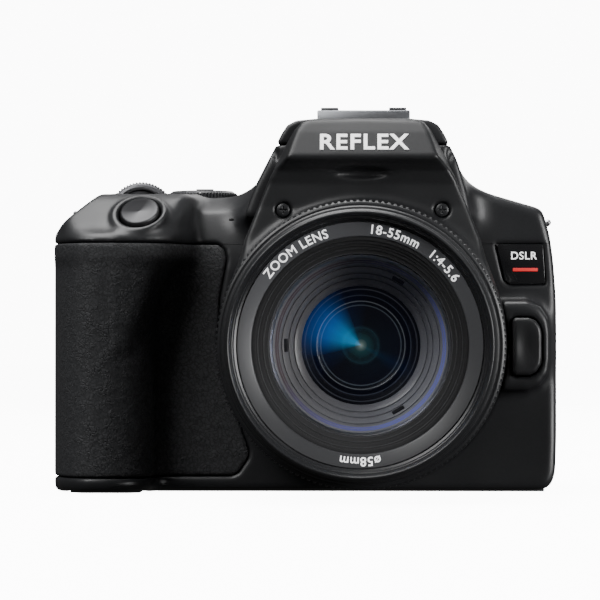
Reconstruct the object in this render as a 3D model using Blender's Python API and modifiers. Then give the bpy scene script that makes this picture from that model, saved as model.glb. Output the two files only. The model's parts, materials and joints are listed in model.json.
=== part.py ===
"""A compact digital single-lens reflex camera with its standard zoom lens, as separate working parts.

Every size and place below is in millimetres. The helpers turn them into Blender's metres.
X runs along the body, from the grip (-X) to the connector side (+X), and 0 is the lens axis.
Y runs from the front (-Y) to the back, and 0 is the image plane. Z is up from the base.
"""

import math

import bmesh
import bpy
from mathutils import Matrix, Vector

MM = 0.001
GAP = 0.3  # clearance between neighbouring pieces
WALL = 2.2  # thickness of the moulded covers
SKIN = 1.1  # thickness of the rubber skins
AXIS_Z = 35.5  # height of the lens axis above the base

# The body seen from the front, without the finder hump: (x, z).
BODY_OUTLINE = [
    (-73.8, 0.1), (43.5, 0.1), (47, 4), (47, 50), (45.4, 62.5), (43, 68.5), (28, 73.2), (-73.8, 73.2),
]
BODY_FRONT, BODY_REAR = -32.0, 16.0
# The finder hump seen from the front: (x, z).
HUMP_OUTLINE = [
    (-29, 68), (-26.5, 74), (-22.8, 80), (-19.4, 86.8), (-16.4, 89.6), (-11, 90.3),
    (11, 90.3), (16.4, 89.6), (19.4, 86.8), (22.8, 80), (26.5, 74), (29, 68),
]
HUMP_FRONT, HUMP_REAR = -37.9, 15.0
HUMP_TOP = 90.3
# The grip column, with its bulge for the thumb at the back, and the shelf over it, from above: (x, y).
GRIP_OUTLINE = [
    (-75, 15), (-75, -22), (-73.8, -37), (-70.4, -45.8), (-66, -50), (-58, -49.5), (-52.5, -46), (-50, -40),
    (-49, 0), (-56.5, 15.2), (-62, 19), (-71.5, 19),
]
SHELF_OUTLINE = [
    (-74.9, -5), (-74.9, -22), (-73.6, -37), (-70.2, -45.0), (-66, -48), (-52, -48), (-46, -43.2), (-42, -34),
    (-40, -5),
]
GRIP_TOP = 59.0
SHELF_BOTTOM, SHELF_TOP = 46.0, 73.0
EYEPIECE_OUTLINE = [(-15, 63), (15, 63), (16, 66), (15.5, 80), (13, 84), (-13, 84), (-15.5, 80), (-16, 66)]
EYEPIECE_REAR = 20.0

# The slopes at the front of the shutter shelf, over the fingers and at the grip's shoulder: a point and the
# outward normal.
SHELF_SLOPE = ((-53.5, -41.5, 66.3), (0.0, -0.669, 0.743))
FINGER_SLOPE = ((-50, 0, 47), (0.84, 0, -0.54))
SHOULDER_SLOPE = ((-68.3, 0, 67.3), (-0.6, 0, 0.8))
SHELF_END_X = -39.5  # the shelf's slope stops here, beside the hump

# The grip's front skin and the thumb's skin from the front: (x, z). Their outer ends run past the body.
RUBBER_OUTLINE = [
    (-80, 3.9), (-32, 3.9), (-27.8, 7.8), (-27.6, 10), (-31, 19.7), (-34.3, 28), (-35.2, 37),
    (-34.8, 47), (-32.9, 56.6), (-35.3, 60.1), (-80, 60.1),
]
THUMB_SKIN_OUTLINE = [(-80, 24), (-63, 24), (-59, 30), (-58, 50), (-60, 57), (-80, 57)]
# The centre panel from the front (x, z) and from the side (y, z). The brow's lip is the foremost point.
FRONT_PANEL_OUTLINE = [
    (-32, 50), (-28.6, 61), (-22.3, 76), (-17.2, 85.2), (-14.6, 89.3), (-8, 90.1), (8, 90.1), (14.6, 89.3),
    (17.2, 85.2), (22.3, 76), (28.6, 61), (32, 50), (33.4, 35.3), (-33.4, 35.3),
]
FRONT_PANEL_SIDE = [
    (-38.3, 20), (-38.3, 90.5), (-39.6, 90.5), (-42.4, 86.5), (-45.2, 81.2), (-45.4, 80.3), (-44.4, 79.4),
    (-41.6, 77.4), (-40.3, 74), (-40.2, 68), (-41.4, 60), (-42.6, 52), (-42.8, 20),
]
BOSS_OUTLINE = [(30, 24.5), (39, 24.5), (44, 28.5), (45, 35.5), (44, 42.5), (39, 46.3), (30, 46.3)]
BOSS_FRONT = -41.0
RELEASE_OUTLINE = [
    (35.9, 28.9), (36.5, 28.3), (40.3, 28.3), (42, 29.6), (42.9, 32), (42.9, 38.5), (42, 40.8), (40.3, 42.1),
    (36.5, 42.1), (35.9, 41.5),
]
NAMEPLATE_OUTLINE = [(35.9, 50.2), (44.2, 50.5), (43.6, 60), (32.3, 60), (34.2, 52)]
PLATE_SEAT = 1.2  # depth of the nameplate's seat

SEAM_Z = 60.2  # seam between the top cover and the covers under it
SEAM_Y = -11.0  # seam between the front and the rear cover

MOUNT_Y = -44.0  # lens mounting plane
MOUNT_HOLE_R = 32.7

SHUTTER_POINT = (-53.5, -42.2, 67.3)
SHUTTER_AXIS = (-0.10, -0.665, 0.740)
SHUTTER_R = 4.75
MAIN_DIAL_POINT = (-54.0, -27.3, 67.1)
MODE_DIAL_POINT = (-40.2, -6.0, 69.8)
MODE_DIAL_R = 8.7
DECK_Z = 69.4  # floor of the pocket round the mode dial
DECK_R = 11.4
ISO_POINT = (-57.0, -15.0, 73.2)
DISP_POINT = (-57.0, -6.0, 73.2)
TOP_BUTTON_R = 2.6
# Buttons on the back: (x, z). The first four are level with the finder, in the top cover.
TOP_REAR_BUTTONS = {
    "menu_button": (27.5, 65.5),
    "live_view_button": (-24.5, 65.5),
    "ae_lock_button": (-57.5, 65.5),
    "af_point_button": (-66.0, 64.5),
}
REAR_BUTTONS = {
    "exposure_button": (-42.0, 51.0),
    "playback_button": (-40.5, 11.5),
    "erase_button": (-51.5, 11.5),
}
REAR_BUTTON_R = 2.5
KEYS_POINT = (-46.0, 29.5)
KEYS_R = 8.6
SCREW_X, SCREW_Z, SCREW_R = 19.1, 68.0, 1.6
DOOR_HINGE_X = -53.5
PIN_X = 29.6  # the lens lock pin's distance from the lens axis
SOCKET_Y = -14.0
SOCKET_R = 5.5
LCD_AXIS = (42.6, 15.0)
LCD_POCKET_Y = 10.5
FLASH_PIVOT = (-10.3, 85.1)  # (y, z) of the arms' pivot
FLASH_ARM_LENGTH = 21.5
FLASH_ARM_DIP = 12  # degrees that the arms slope down to the front while the flash is closed
FLASH_HINGE = (
    FLASH_PIVOT[0] - FLASH_ARM_LENGTH * math.cos(math.radians(FLASH_ARM_DIP)),
    FLASH_PIVOT[1] - FLASH_ARM_LENGTH * math.sin(math.radians(FLASH_ARM_DIP)),
)
ARM_INNER, ARM_OUTER = 15.4, 16.8  # each arm's faces, as distances from the middle

# Sections of the lens's rings: (radius, y).
BARREL_PROFILE = [
    (29.3, -90.0), (30.3, -90.0), (30.3, -60.6), (32.6, -60.6), (32.6, -50), (31.6, -46.7), (29.3, -46.7),
]
ZOOM_RING_PROFILE = [(30.65, -86.3), (32.5, -86.3), (33.25, -85.6), (33.25, -62), (32.6, -61), (30.65, -61)]
INNER_BARREL_PROFILE = [
    (27.9, -105.2), (29.6, -106.0), (30.5, -105.0), (30.5, -97.2), (28.9, -97.2), (28.9, -62), (27.9, -62),
]
FOCUS_RING_PROFILE = [(29.25, -96.9), (31.5, -96.9), (31.5, -90.5), (29.25, -90.5)]
NAME_RING_PROFILE = [(20.6, -99.2), (24.4, -101.8), (27.6, -102.9), (27.6, -100.4), (20.6, -97.2)]
FRONT_GLASS_PROFILE = [(0, -99.0), (7, -98.7), (14, -97.7), (20.2, -96.0), (20.2, -94.5), (0, -93.6)]
OPTICAL_CELL_PROFILE = [(13.8, -84), (18.4, -92.6), (21.2, -92.6), (21.2, -70), (13.8, -70)]

# Finishes: (colour, roughness, metallic).
FINISHES = {
    "body_plastic": ((0.030, 0.031, 0.033), 0.45, 0.0),
    "panel_plastic": ((0.034, 0.035, 0.038), 0.55, 0.0),
    "grip_rubber": ((0.022, 0.023, 0.025), 0.75, 0.0),
    "gloss_black": ((0.012, 0.012, 0.013), 0.15, 0.0),
    "button_metal": ((0.25, 0.25, 0.26), 0.30, 0.9),
    "bright_metal": ((0.62, 0.62, 0.64), 0.28, 1.0),
    "lens_barrel": ((0.028, 0.029, 0.031), 0.42, 0.0),
    "inner_black": ((0.015, 0.015, 0.016), 0.65, 0.0),
    "glass": ((0.50, 0.55, 0.62), 0.03, 0.0),
    "screen_glass": ((0.015, 0.016, 0.018), 0.06, 0.0),
    "mirror": ((0.85, 0.86, 0.88), 0.03, 1.0),
    "circuit_board": ((0.02, 0.14, 0.06), 0.5, 0.0),
    "battery_plastic": ((0.045, 0.045, 0.050), 0.5, 0.0),
}

ALONG = {"X": (1, 2, 0), "Y": (0, 2, 1), "Z": (0, 1, 2)}  # axis: (first, second, extrusion) coordinate


# ---------------------------------------------------------------- modelling helpers


def clear_scene():
    for obj in list(bpy.data.objects):
        bpy.data.objects.remove(obj)


def material(name):
    """The Principled material of one finish, made the first time it is asked for."""
    if name in bpy.data.materials:
        return bpy.data.materials[name]
    colour, roughness, metallic = FINISHES[name]
    made = bpy.data.materials.new(name)
    made.use_nodes = True
    shader = made.node_tree.nodes["Principled BSDF"]
    shader.inputs["Base Color"].default_value = (*colour, 1)
    shader.inputs["Roughness"].default_value = roughness
    shader.inputs["Metallic"].default_value = metallic
    made.diffuse_color = (*colour, 1)
    return made


def place(name, bm):
    """A linked object that holds this bmesh, with its faces pointing out."""
    bmesh.ops.remove_doubles(bm, verts=bm.verts, dist=1e-7)
    bmesh.ops.recalc_face_normals(bm, faces=bm.faces)
    mesh = bpy.data.meshes.new(name)
    bm.to_mesh(mesh)
    bm.free()
    obj = bpy.data.objects.new(name, mesh)
    bpy.data.collections["camera"].objects.link(obj)
    return obj


def round_edges(bm, radius, segments, least_angle=25):
    """Bevels every edge whose faces meet at more than least_angle degrees."""
    bm.normal_update()
    edges = [
        e for e in bm.edges
        if len(e.link_faces) == 2 and e.calc_face_angle(0) > math.radians(least_angle)
    ]
    bmesh.ops.bevel(
        bm, geom=edges, offset=radius * MM, segments=segments, profile=0.5, affect="EDGES", clamp_overlap=True
    )


def block(name, low, high, bevel=0.0, segments=1):
    """A box between two corners."""
    bm = bmesh.new()
    bmesh.ops.create_cube(bm, size=1)
    size = [(h - l) * MM for l, h in zip(low, high)]
    middle = [(h + l) / 2 * MM for l, h in zip(low, high)]
    bmesh.ops.scale(bm, vec=size, verts=bm.verts)
    bmesh.ops.translate(bm, vec=middle, verts=bm.verts)
    if bevel:
        round_edges(bm, bevel, segments)
    return place(name, bm)


def prism(name, outline, axis, low, high, bevel=0.0, segments=1):
    """An outline pushed along an axis from low to high."""
    first, second, third = ALONG[axis]
    bm = bmesh.new()
    corners = []
    for a, b in outline:
        point = [0.0, 0.0, 0.0]
        point[first], point[second], point[third] = a * MM, b * MM, low * MM
        corners.append(bm.verts.new(point))
    face = bm.faces.new(corners)
    pushed = bmesh.ops.extrude_face_region(bm, geom=[face])
    step = [0.0, 0.0, 0.0]
    step[third] = (high - low) * MM
    moved = [v for v in pushed["geom"] if isinstance(v, bmesh.types.BMVert)]
    bmesh.ops.translate(bm, vec=step, verts=moved)
    bmesh.ops.recalc_face_normals(bm, faces=bm.faces)
    if bevel:
        round_edges(bm, bevel, segments)
    return place(name, bm)


def rod(name, point, axis, radius, start, end, segments=24, tip_radius=None):
    """A cylinder, or a cone, on a line through a point, from start to end along it."""
    bm = bmesh.new()
    bmesh.ops.create_cone(
        bm, cap_ends=True, segments=segments, radius1=radius * MM,
        radius2=(radius if tip_radius is None else tip_radius) * MM, depth=(end - start) * MM,
    )
    turn = Vector(axis).normalized().to_track_quat("Z", "Y").to_matrix().to_4x4()
    move = Matrix.Translation(Vector(point) * MM)
    lift = Matrix.Translation((0, 0, (start + end) / 2 * MM))
    bmesh.ops.transform(bm, matrix=move @ turn @ lift, verts=bm.verts)
    return place(name, bm)


def turned(name, profile, point=(0, 0, AXIS_Z), axis=(0, 1, 0), steps=40):
    """A closed profile of (radius, distance along the axis) turned about an axis, by a Screw modifier."""
    bm = bmesh.new()
    ring = [bm.verts.new((r * MM, 0, h * MM)) for r, h in profile]
    for a, b in zip(ring, ring[1:] + ring[:1]):
        if a.co.x > 0 or b.co.x > 0:
            bm.edges.new((a, b))
    mesh = bpy.data.meshes.new(name)
    bm.to_mesh(mesh)
    bm.free()
    obj = bpy.data.objects.new(name, mesh)
    bpy.data.collections["camera"].objects.link(obj)
    screw = obj.modifiers.new("turn", "SCREW")
    screw.steps = screw.render_steps = steps
    screw.use_merge_vertices = True
    screw.merge_threshold = 1e-6
    bake(obj, face_out=True)
    turn = Vector(axis).normalized().to_track_quat("Z", "Y").to_matrix().to_4x4()
    obj.data.transform(Matrix.Translation(Vector(point) * MM) @ turn)
    return obj


def bake(obj, face_out=False):
    """Replaces an object's mesh by its evaluated one and drops its modifiers.

    A hollow shell must not be turned face out, because that would flip its inner wall.
    """
    bpy.context.view_layer.update()
    graph = bpy.context.evaluated_depsgraph_get()
    mesh = bpy.data.meshes.new_from_object(obj.evaluated_get(graph))
    obj.modifiers.clear()
    old = obj.data
    obj.data = mesh
    bpy.data.meshes.remove(old)
    bm = bmesh.new()
    bm.from_mesh(mesh)
    bmesh.ops.remove_doubles(bm, verts=bm.verts, dist=1e-7)
    if face_out:
        bmesh.ops.recalc_face_normals(bm, faces=bm.faces)
    bm.to_mesh(mesh)
    bm.free()


def boolean(obj, tools, operation):
    """Joins, cuts or keeps an object with tools, which are used up."""
    for tool in tools:
        modifier = obj.modifiers.new(operation.lower(), "BOOLEAN")
        modifier.operation = operation
        modifier.solver = "EXACT"
        modifier.object = tool
        bake(obj)
        bpy.data.objects.remove(tool)
    return obj


def join(obj, *tools):
    return boolean(obj, tools, "UNION")


def cut(obj, *tools):
    return boolean(obj, tools, "DIFFERENCE")


def keep(obj, *tools):
    return boolean(obj, tools, "INTERSECT")


def copy_of(obj, name):
    made = obj.copy()
    made.data = obj.data.copy()
    made.name = name
    bpy.data.collections["camera"].objects.link(made)
    return made


def inset(outline, distance):
    """A convex outline, in either direction, with every edge moved inwards."""
    area = sum(a[0] * b[1] - b[0] * a[1] for a, b in zip(outline, outline[1:] + outline[:1]))
    side = 1 if area > 0 else -1
    lines = []
    for a, b in zip(outline, outline[1:] + outline[:1]):
        along = Vector((b[0] - a[0], b[1] - a[1])).normalized()
        inward = Vector((-along.y, along.x)) * side
        lines.append((Vector(a) + inward * distance, along))
    points = []
    for (p, d), (q, e) in zip(lines[-1:] + lines[:-1], lines):
        cross = d.x * e.y - d.y * e.x
        t = ((q.x - p.x) * e.y - (q.y - p.y) * e.x) / cross
        points.append((p.x + d.x * t, p.y + d.y * t))
    return points


def wedge(name, point, normal, size=60):
    """A large block lying on the outer side of a plane, to cut a slope."""
    made = block(name, (-size, -size, 0), (size, size, size))
    turn = Vector(normal).normalized().to_track_quat("Z", "Y").to_matrix().to_4x4()
    made.data.transform(Matrix.Translation(Vector(point) * MM) @ turn)
    return made


def finish(obj, finish_name, pivot=None):
    """Gives a piece its material, smooth rounds and, for a moving piece, its origin on the joint's axis."""
    obj.data.materials.clear()
    obj.data.materials.append(material(finish_name))
    obj.data.shade_smooth()
    obj.data.set_sharp_from_angle(angle=math.radians(30))
    if pivot is not None:
        shift = Vector(pivot) * MM
        obj.data.transform(Matrix.Translation(-shift))
        obj.location = shift
    return obj


# ---------------------------------------------------------------- body covers


def body_form(name, depth):
    """The closed outer form of the whole body, taken in by depth all over."""
    outside = depth == 0
    front, rear = BODY_FRONT + depth, BODY_REAR - depth
    form = prism(name, inset(BODY_OUTLINE, depth), "Y", front, rear, 2.5, 2 if outside else 1)
    grip = prism("grip_tool", inset(GRIP_OUTLINE, depth), "Z", depth, GRIP_TOP - depth, 1.5 if outside else 0)
    shelf = prism("shelf_tool", inset(SHELF_OUTLINE, depth), "Z", SHELF_BOTTOM + depth, SHELF_TOP - depth)
    cut(shelf, slope_tool(FINGER_SLOPE, depth))
    hump = prism("hump_tool", inset(HUMP_OUTLINE, depth), "Y", HUMP_FRONT + depth, HUMP_REAR - depth)
    eyepiece = prism("eyepiece_tool", inset(EYEPIECE_OUTLINE, depth), "Y", 5, EYEPIECE_REAR - depth)
    join(form, grip, shelf, hump, eyepiece)
    shelf_slope = cut(slope_tool(SHELF_SLOPE, depth), block("limit_tool", (SHELF_END_X, -90, 0), (60, 90, 200)))
    return cut(form, shelf_slope, slope_tool(SHOULDER_SLOPE, depth))


def slope_tool(slope, depth):
    """A block to cut a slope with, taken in by depth."""
    point, normal = slope
    return wedge("slope_tool", Vector(point) - Vector(normal).normalized() * depth, normal)


def release_boss(depth):
    """The rounded mound on the front that holds the lens release button."""
    return prism("boss_tool", inset(BOSS_OUTLINE, depth), "Y", BOSS_FRONT + depth, -25, 1.2 if depth == 0 else 0)


def rubber_pads(outer):
    """The front grip skin and the thumb skin, and the two recesses that they lie in."""
    deep = body_form("deep_form", SKIN + 0.2)
    shallow = body_form("shallow_form", SKIN)
    pads = []
    recesses = []
    for name, outline, grown, low, high in (
        ("grip_rubber", RUBBER_OUTLINE, grow_loosely(RUBBER_OUTLINE), -60, SEAM_Y - 3),
        ("thumb_rubber", THUMB_SKIN_OUTLINE, inset(THUMB_SKIN_OUTLINE, -GAP), 6, 30),
    ):
        pad = keep(copy_of(outer, name), prism("pad_tool", outline, "Y", low, high))
        cut(pad, copy_of(shallow, "shallow_tool"))
        pads.append(finish(pad, "grip_rubber"))
        recess = prism("recess_tool", grown, "Y", low - GAP, high + GAP)
        recesses.append(cut(recess, copy_of(deep, "deep_tool")))
    bpy.data.objects.remove(deep)
    bpy.data.objects.remove(shallow)
    return pads, recesses


def grow_loosely(outline):
    """An outline that isn't convex, with each corner moved out by a gap."""
    grown = []
    for before, (x, z), after in zip(outline[-1:] + outline[:-1], outline, outline[1:] + outline[:1]):
        along = Vector((after[0] - before[0], after[1] - before[1])).normalized()
        grown.append((x + along.y * GAP, z - along.x * GAP))
    return grown


def covers():
    """Front, top and rear cover: the hollow body cut along its seams, with its openings."""
    outer = body_form("outer_form", 0)
    pads, recesses = rubber_pads(outer)
    join(outer, release_boss(0))
    shell = cut(outer, body_form("inner_form", WALL), release_boss(WALL))
    cut(shell, *recesses)
    cut(shell, block("base_tool", (-50 - GAP, -28.5 - GAP, -1), (44 + GAP, 12 + GAP, WALL + 1)))
    cut(shell, block("door_tool", (-70.5 - GAP, -42 - GAP, -1), (DOOR_HINGE_X + GAP, -8 + GAP, WALL + 1)))
    top = copy_of(shell, "top_cover")
    keep(top, block("top_tool", (-90, -60, SEAM_Z), (60, 40, 110)))
    front = copy_of(shell, "front_cover")
    keep(front, block("front_tool", (-90, -60, -5), (60, SEAM_Y, SEAM_Z - GAP)))
    rear = shell
    rear.name = "rear_cover"
    keep(rear, block("rear_tool", (-90, SEAM_Y + GAP, -5), (60, 40, SEAM_Z - GAP)))
    open_front(front)
    open_top(top)
    open_rear(rear)
    return pads


def open_front(front):
    """The lens opening, the release button's hole, the nameplate's seat and the port recess."""
    cut(front, rod("mount_tool", (0, 0, AXIS_Z), (0, 1, 0), 34.2, -60, -20, 40))
    cut(front, rod("ring_tool", (0, 0, AXIS_Z), (0, 1, 0), 34.9, -60, -38, 40))
    cut(front, prism("release_tool", inset(RELEASE_OUTLINE, -0.35), "Y", -60, -20))
    cut(front, prism("plate_tool", inset(NAMEPLATE_OUTLINE, -GAP), "Y", -60, BODY_FRONT + PLATE_SEAT))
    cut(front, block("port_tool", (45.2, -25, 12), (50, SEAM_Y + 1, 48)))
    finish(front, "body_plastic")


def open_top(top):
    """The openings for the dials, buttons, flash head and finder window."""
    cut(top, rod("shutter_tool", SHUTTER_POINT, SHUTTER_AXIS, SHUTTER_R + 0.35, -12, 10, 24))
    x, y, z = MAIN_DIAL_POINT
    cut(top, block("slot_tool", (x - 8.6, y - 3.2, z - 2), (x + 8.6, y + 3.2, z + 20)))
    x, y, z = MODE_DIAL_POINT
    cut(top, rod("deck_tool", (x, y, DECK_Z), (0, 0, 1), DECK_R, 0, 20, 32))
    join(top, deck_cup(x, y))
    for point in (ISO_POINT, DISP_POINT):
        cut(top, rod("button_tool", point, (0, 0, 1), TOP_BUTTON_R + 0.4, -8, 8, 16))
    cut(top, block("flash_tool", (-40, HUMP_FRONT - 5, 83.7), (40, -13.3, 120)))
    for sign in (-1, 1):
        low, high = sorted(((ARM_INNER - GAP) * sign, (ARM_OUTER + GAP) * sign))
        cut(top, block("arm_slot_tool", (low, -14, 82), (high, -7.6, 95)))
    cut(top, block("window_tool", (-9.5, 5, 69), (9.5, 30, 79.5)))
    cut(top, rod("mount_tool", (0, 0, AXIS_Z), (0, 1, 0), 34.2, -60, -20, 40))
    cut_rear_buttons(top, TOP_REAR_BUTTONS)
    finish(top, "body_plastic")


def cut_rear_buttons(cover, buttons):
    for x, z in buttons.values():
        cut(cover, rod("button_tool", (x, BODY_REAR, z), (0, 1, 0), REAR_BUTTON_R + 0.4, -8, 8, 16))


def deck_cup(x, y):
    """The floor and wall under the mode dial, so that its pocket is closed to the inside."""
    cup = rod("cup_tool", (x, y, DECK_Z), (0, 0, 1), DECK_R + 1.2, -1.6, 1.8, 32)
    cut(cup, rod("cup_cut_tool", (x, y, DECK_Z), (0, 0, 1), DECK_R, 0, 5, 32))
    return cut(cup, rod("cup_hole_tool", (x, y, DECK_Z), (0, 0, 1), 3.2, -5, 5, 16))


def open_rear(rear):
    """The screen's pocket, the button holes and the ports' recess."""
    cut(rear, block("pocket_tool", (-33.5, LCD_POCKET_Y, 4.4), (50, 30, 58.6)))
    join(rear, block("pocket_floor_tool", (-36, LCD_POCKET_Y - 1.8, 2.6), (45.2, LCD_POCKET_Y, 59.2)))
    x, z = KEYS_POINT
    cut(rear, rod("keys_tool", (x, BODY_REAR, z), (0, 1, 0), KEYS_R + 0.6, -3.2, 8, 28))
    cut_rear_buttons(rear, REAR_BUTTONS)
    cut(rear, block("port_tool", (45.2, SEAM_Y - 1, 12), (50, -4, 48)))
    finish(rear, "body_plastic")


def bottom_plate():
    plate = block("bottom_plate", (-50, -28.5, 0), (44, 12, 2.0))
    cut(plate, rod("socket_tool", (0, SOCKET_Y, 0), (0, 0, 1), SOCKET_R + 0.4, -2, 4, 24))
    finish(plate, "body_plastic")


def front_panel():
    """The centre panel: the brow over the lens, running down into a ring round the mount."""
    panel = prism("front_panel", FRONT_PANEL_OUTLINE, "Y", -60, -20)
    ring = rod("ring_tool", (0, 0, AXIS_Z), (0, 1, 0), 34.6, -60, -20, 48)
    join(panel, ring)
    side = prism("side_tool", FRONT_PANEL_SIDE, "X", -45, 45)
    low = rod("low_tool", (0, 0, AXIS_Z), (0, 1, 0), 33.9, -42.8, -30, 48)
    join(side, low)
    keep(panel, side)
    cut(panel, rod("mount_tool", (0, 0, AXIS_Z), (0, 1, 0), MOUNT_HOLE_R, -70, 0, 48))
    for sign in (-1, 1):
        cut(panel, rod("screw_tool", (SCREW_X * sign, 0, SCREW_Z), (0, 1, 0), SCREW_R + 0.35, -60, -39.4, 16))
    finish(panel, "panel_plastic")


def panel_screw(name, x):
    """A small pan-head screw with a cross recess, seated in the centre panel."""
    head = rod(name, (x, 0, SCREW_Z), (0, 1, 0), SCREW_R, -40.5, -39.75, 20)
    for wide, tall in ((0.95, 0.24), (0.24, 0.95)):
        cut(head, block("cross_tool", (x - wide, -45, SCREW_Z - tall), (x + wide, -40.05, SCREW_Z + tall)))
    finish(head, "gloss_black")


def nameplate():
    plate = prism("nameplate", NAMEPLATE_OUTLINE, "Y", BODY_FRONT - 0.4, BODY_FRONT + 0.8, 0.25)
    finish(plate, "gloss_black")


# ---------------------------------------------------------------- shoe and flash


def hot_shoe():
    side = [(-13.0, 90.6), (7, 90.6), (7, 91.8), (-11.4, 91.8), (-11.4, 93.8), (-12.2, 93.8)]
    finish(prism("hot_shoe_base", side, "X", -11.5, 11.5), "body_plastic")
    section = [
        (-10.6, 92.1), (10.6, 92.1), (10.6, 94.5), (6.3, 94.5), (6.3, 93.9), (9.4, 93.9), (9.4, 92.5),
        (-9.4, 92.5), (-9.4, 93.9), (-6.3, 93.9), (-6.3, 94.5), (-10.6, 94.5),
    ]
    finish(prism("hot_shoe_rails", section, "Y", -11.1, 6.8), "bright_metal")


def flash():
    """The pop-up flash: a level head carried by a pair of arms."""
    head = prism("flash_head", HUMP_OUTLINE, "Y", HUMP_FRONT + 0.5, -13.3 - GAP)
    keep(head, block("cap_tool", (-40, -60, 84), (40, 0, 120)))
    cut(head, block("hollow_tool", (-17.2, -34.8, 80), (17.2, -12, 87.6)))
    join(head, block("lamp_tool", (-14, -33.8, 77.6), (14, -25, 88.2)))
    y, z = FLASH_HINGE
    cut(head, rod("bore_tool", (0, y, z), (1, 0, 0), 1.35, -20, 20, 12))
    finish(head, "body_plastic", (0, y, z))
    window = block("flash_window", (-12, -34.9, 78.6), (12, -34.1, 83.2), 0.2)
    finish(window, "glass", (0, y, z))
    root_y, root_z = FLASH_PIVOT
    arms = rod("flash_arms", (0, root_y, root_z), (1, 0, 0), 1.3, -17.0, 17.0, 12)
    along = Vector((y - root_y, z - root_z)).normalized() * 1.5
    across = Vector((-along.y, along.x))
    root, tip = Vector(FLASH_PIVOT) - along, Vector(FLASH_HINGE) + along
    side = [root + across, tip + across, tip - across, root - across]
    for sign in (-1, 1):
        low, high = sorted((ARM_INNER * sign, ARM_OUTER * sign))
        join(arms, prism("arm_tool", side, "X", low, high))
        low, high = sorted((12.4 * sign, (ARM_INNER + 0.7) * sign))
        join(arms, rod("stub_tool", (0, y, z), (1, 0, 0), 1.0, low, high, 12))
    finish(arms, "button_metal", (0, root_y, root_z))


# ---------------------------------------------------------------- controls


def top_controls():
    button = rod("shutter_button", SHUTTER_POINT, SHUTTER_AXIS, SHUTTER_R, -4.0, 0.9, 28, SHUTTER_R - 0.3)
    finish(button, "button_metal", SHUTTER_POINT)
    dial = turned(
        "main_dial", [(0, -2.9), (7.2, -2.9), (8.2, -2.2), (8.2, 2.2), (7.2, 2.9), (0, 2.9)],
        MAIN_DIAL_POINT, steps=40,
    )
    finish(dial, "body_plastic", MAIN_DIAL_POINT)
    x, y, z = MODE_DIAL_POINT
    profile = [(0, -3.0), (2.8, -3.0), (2.8, 1.1), (MODE_DIAL_R, 1.1), (MODE_DIAL_R, 3.6), (8.0, 4.0), (0, 4.0)]
    mode = turned("mode_dial", profile, MODE_DIAL_POINT, (0, 0, 1), 36)
    finish(mode, "body_plastic", MODE_DIAL_POINT)
    profile = [(3.2, 0), (10.9, 0), (10.9, 0.7), (3.2, 0.7)]
    lever = turned("power_lever", profile, MODE_DIAL_POINT, (0, 0, 1), 36)
    join(lever, block("stem_tool", (x - 2.0, y + 9.0, z + 0.1), (x + 2.0, y + 10.7, z + 5.0)))
    join(lever, block("tab_tool", (x - 2.1, y + 8.9, z + 3.8), (x + 2.1, y + 13.0, z + 5.1)))
    finish(lever, "body_plastic", MODE_DIAL_POINT)
    for name, point in (("iso_button", ISO_POINT), ("disp_button", DISP_POINT)):
        finish(rod(name, point, (0, 0, 1), TOP_BUTTON_R, -3.0, 0.8, 20), "gloss_black", point)


def release():
    """The lens release button and the lock pin that it draws back."""
    button = prism("lens_release_button", RELEASE_OUTLINE, "Y", -43.2, -36, 0.5, 2)
    finish(button, "panel_plastic", (39.4, -40, AXIS_Z))
    pin = rod("lens_lock_pin", (PIN_X, 0, AXIS_Z), (0, 1, 0), 1.1, -45.1, -38, 12)
    finish(pin, "bright_metal", (PIN_X, MOUNT_Y, AXIS_Z))


def rear_controls():
    for name, (x, z) in {**TOP_REAR_BUTTONS, **REAR_BUTTONS}.items():
        point = (x, BODY_REAR, z)
        finish(rod(name, point, (0, 1, 0), REAR_BUTTON_R, -3.0, 0.7, 20), "gloss_black", point)
    x, z = KEYS_POINT
    point = (x, BODY_REAR - 1, z)
    profile = [(3.6, -1.2), (KEYS_R, -1.2), (KEYS_R, 1.4), (7.8, 1.9), (3.6, 1.3)]
    keys = turned("cross_keys", profile, point, steps=32)
    finish(keys, "gloss_black", point)
    finish(rod("set_button", point, (0, 1, 0), 3.2, -1.2, 1.4, 20), "gloss_black", point)


def finder():
    """Eyecup, eyepiece lens and dioptre knob."""
    cup = prism("eyecup", EYEPIECE_OUTLINE, "Y", EYEPIECE_REAR + GAP, 25, 1.0)
    cut(cup, block("hole_tool", (-9.5, 10, 69), (9.5, 40, 79.5), 1.0))
    finish(cup, "grip_rubber", (0, 22, 74))
    finish(block("eyepiece_lens", (-9.1, 14.5, 69.4), (9.1, 17, 79.1)), "glass")
    point = (-16.0, 17.8, 75.0)
    finish(rod("diopter_knob", point, (-1, 0, 0), 2.4, 0.3, 2.8, 20), "body_plastic", point)


def screen():
    """The side-hinged screen: hinge block, case and cover glass."""
    x, y = LCD_AXIS
    hinge = rod("lcd_hinge_block", (x, y, 0), (0, 0, 1), 4.2, 9, 54, 24)
    join(hinge, block("arm_tool", (37.2, y - 2.6, 24), (x - 1, y + 2.2, 39)))
    finish(hinge, "body_plastic", (x, y, 31.5))
    case = block("lcd_case", (-33.1, LCD_POCKET_Y + GAP, 4.8), (37.8, 17.7, 58.2), 1.2)
    cut(case, block("arm_seat_tool", (36.8, y - 3, 23.6), (45, y + 2.6, 39.4)))
    cut(case, block("glass_seat_tool", (-32, 16.5, 6), (36.6, 25, 57)))
    finish(case, "body_plastic", (x, y, 31.5))
    finish(block("lcd_glass", (-31.7, 16.8, 6.3), (36.3, 18.1, 56.7), 0.3), "screen_glass", (x, y, 31.5))


# ---------------------------------------------------------------- doors, sockets and lugs


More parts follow.
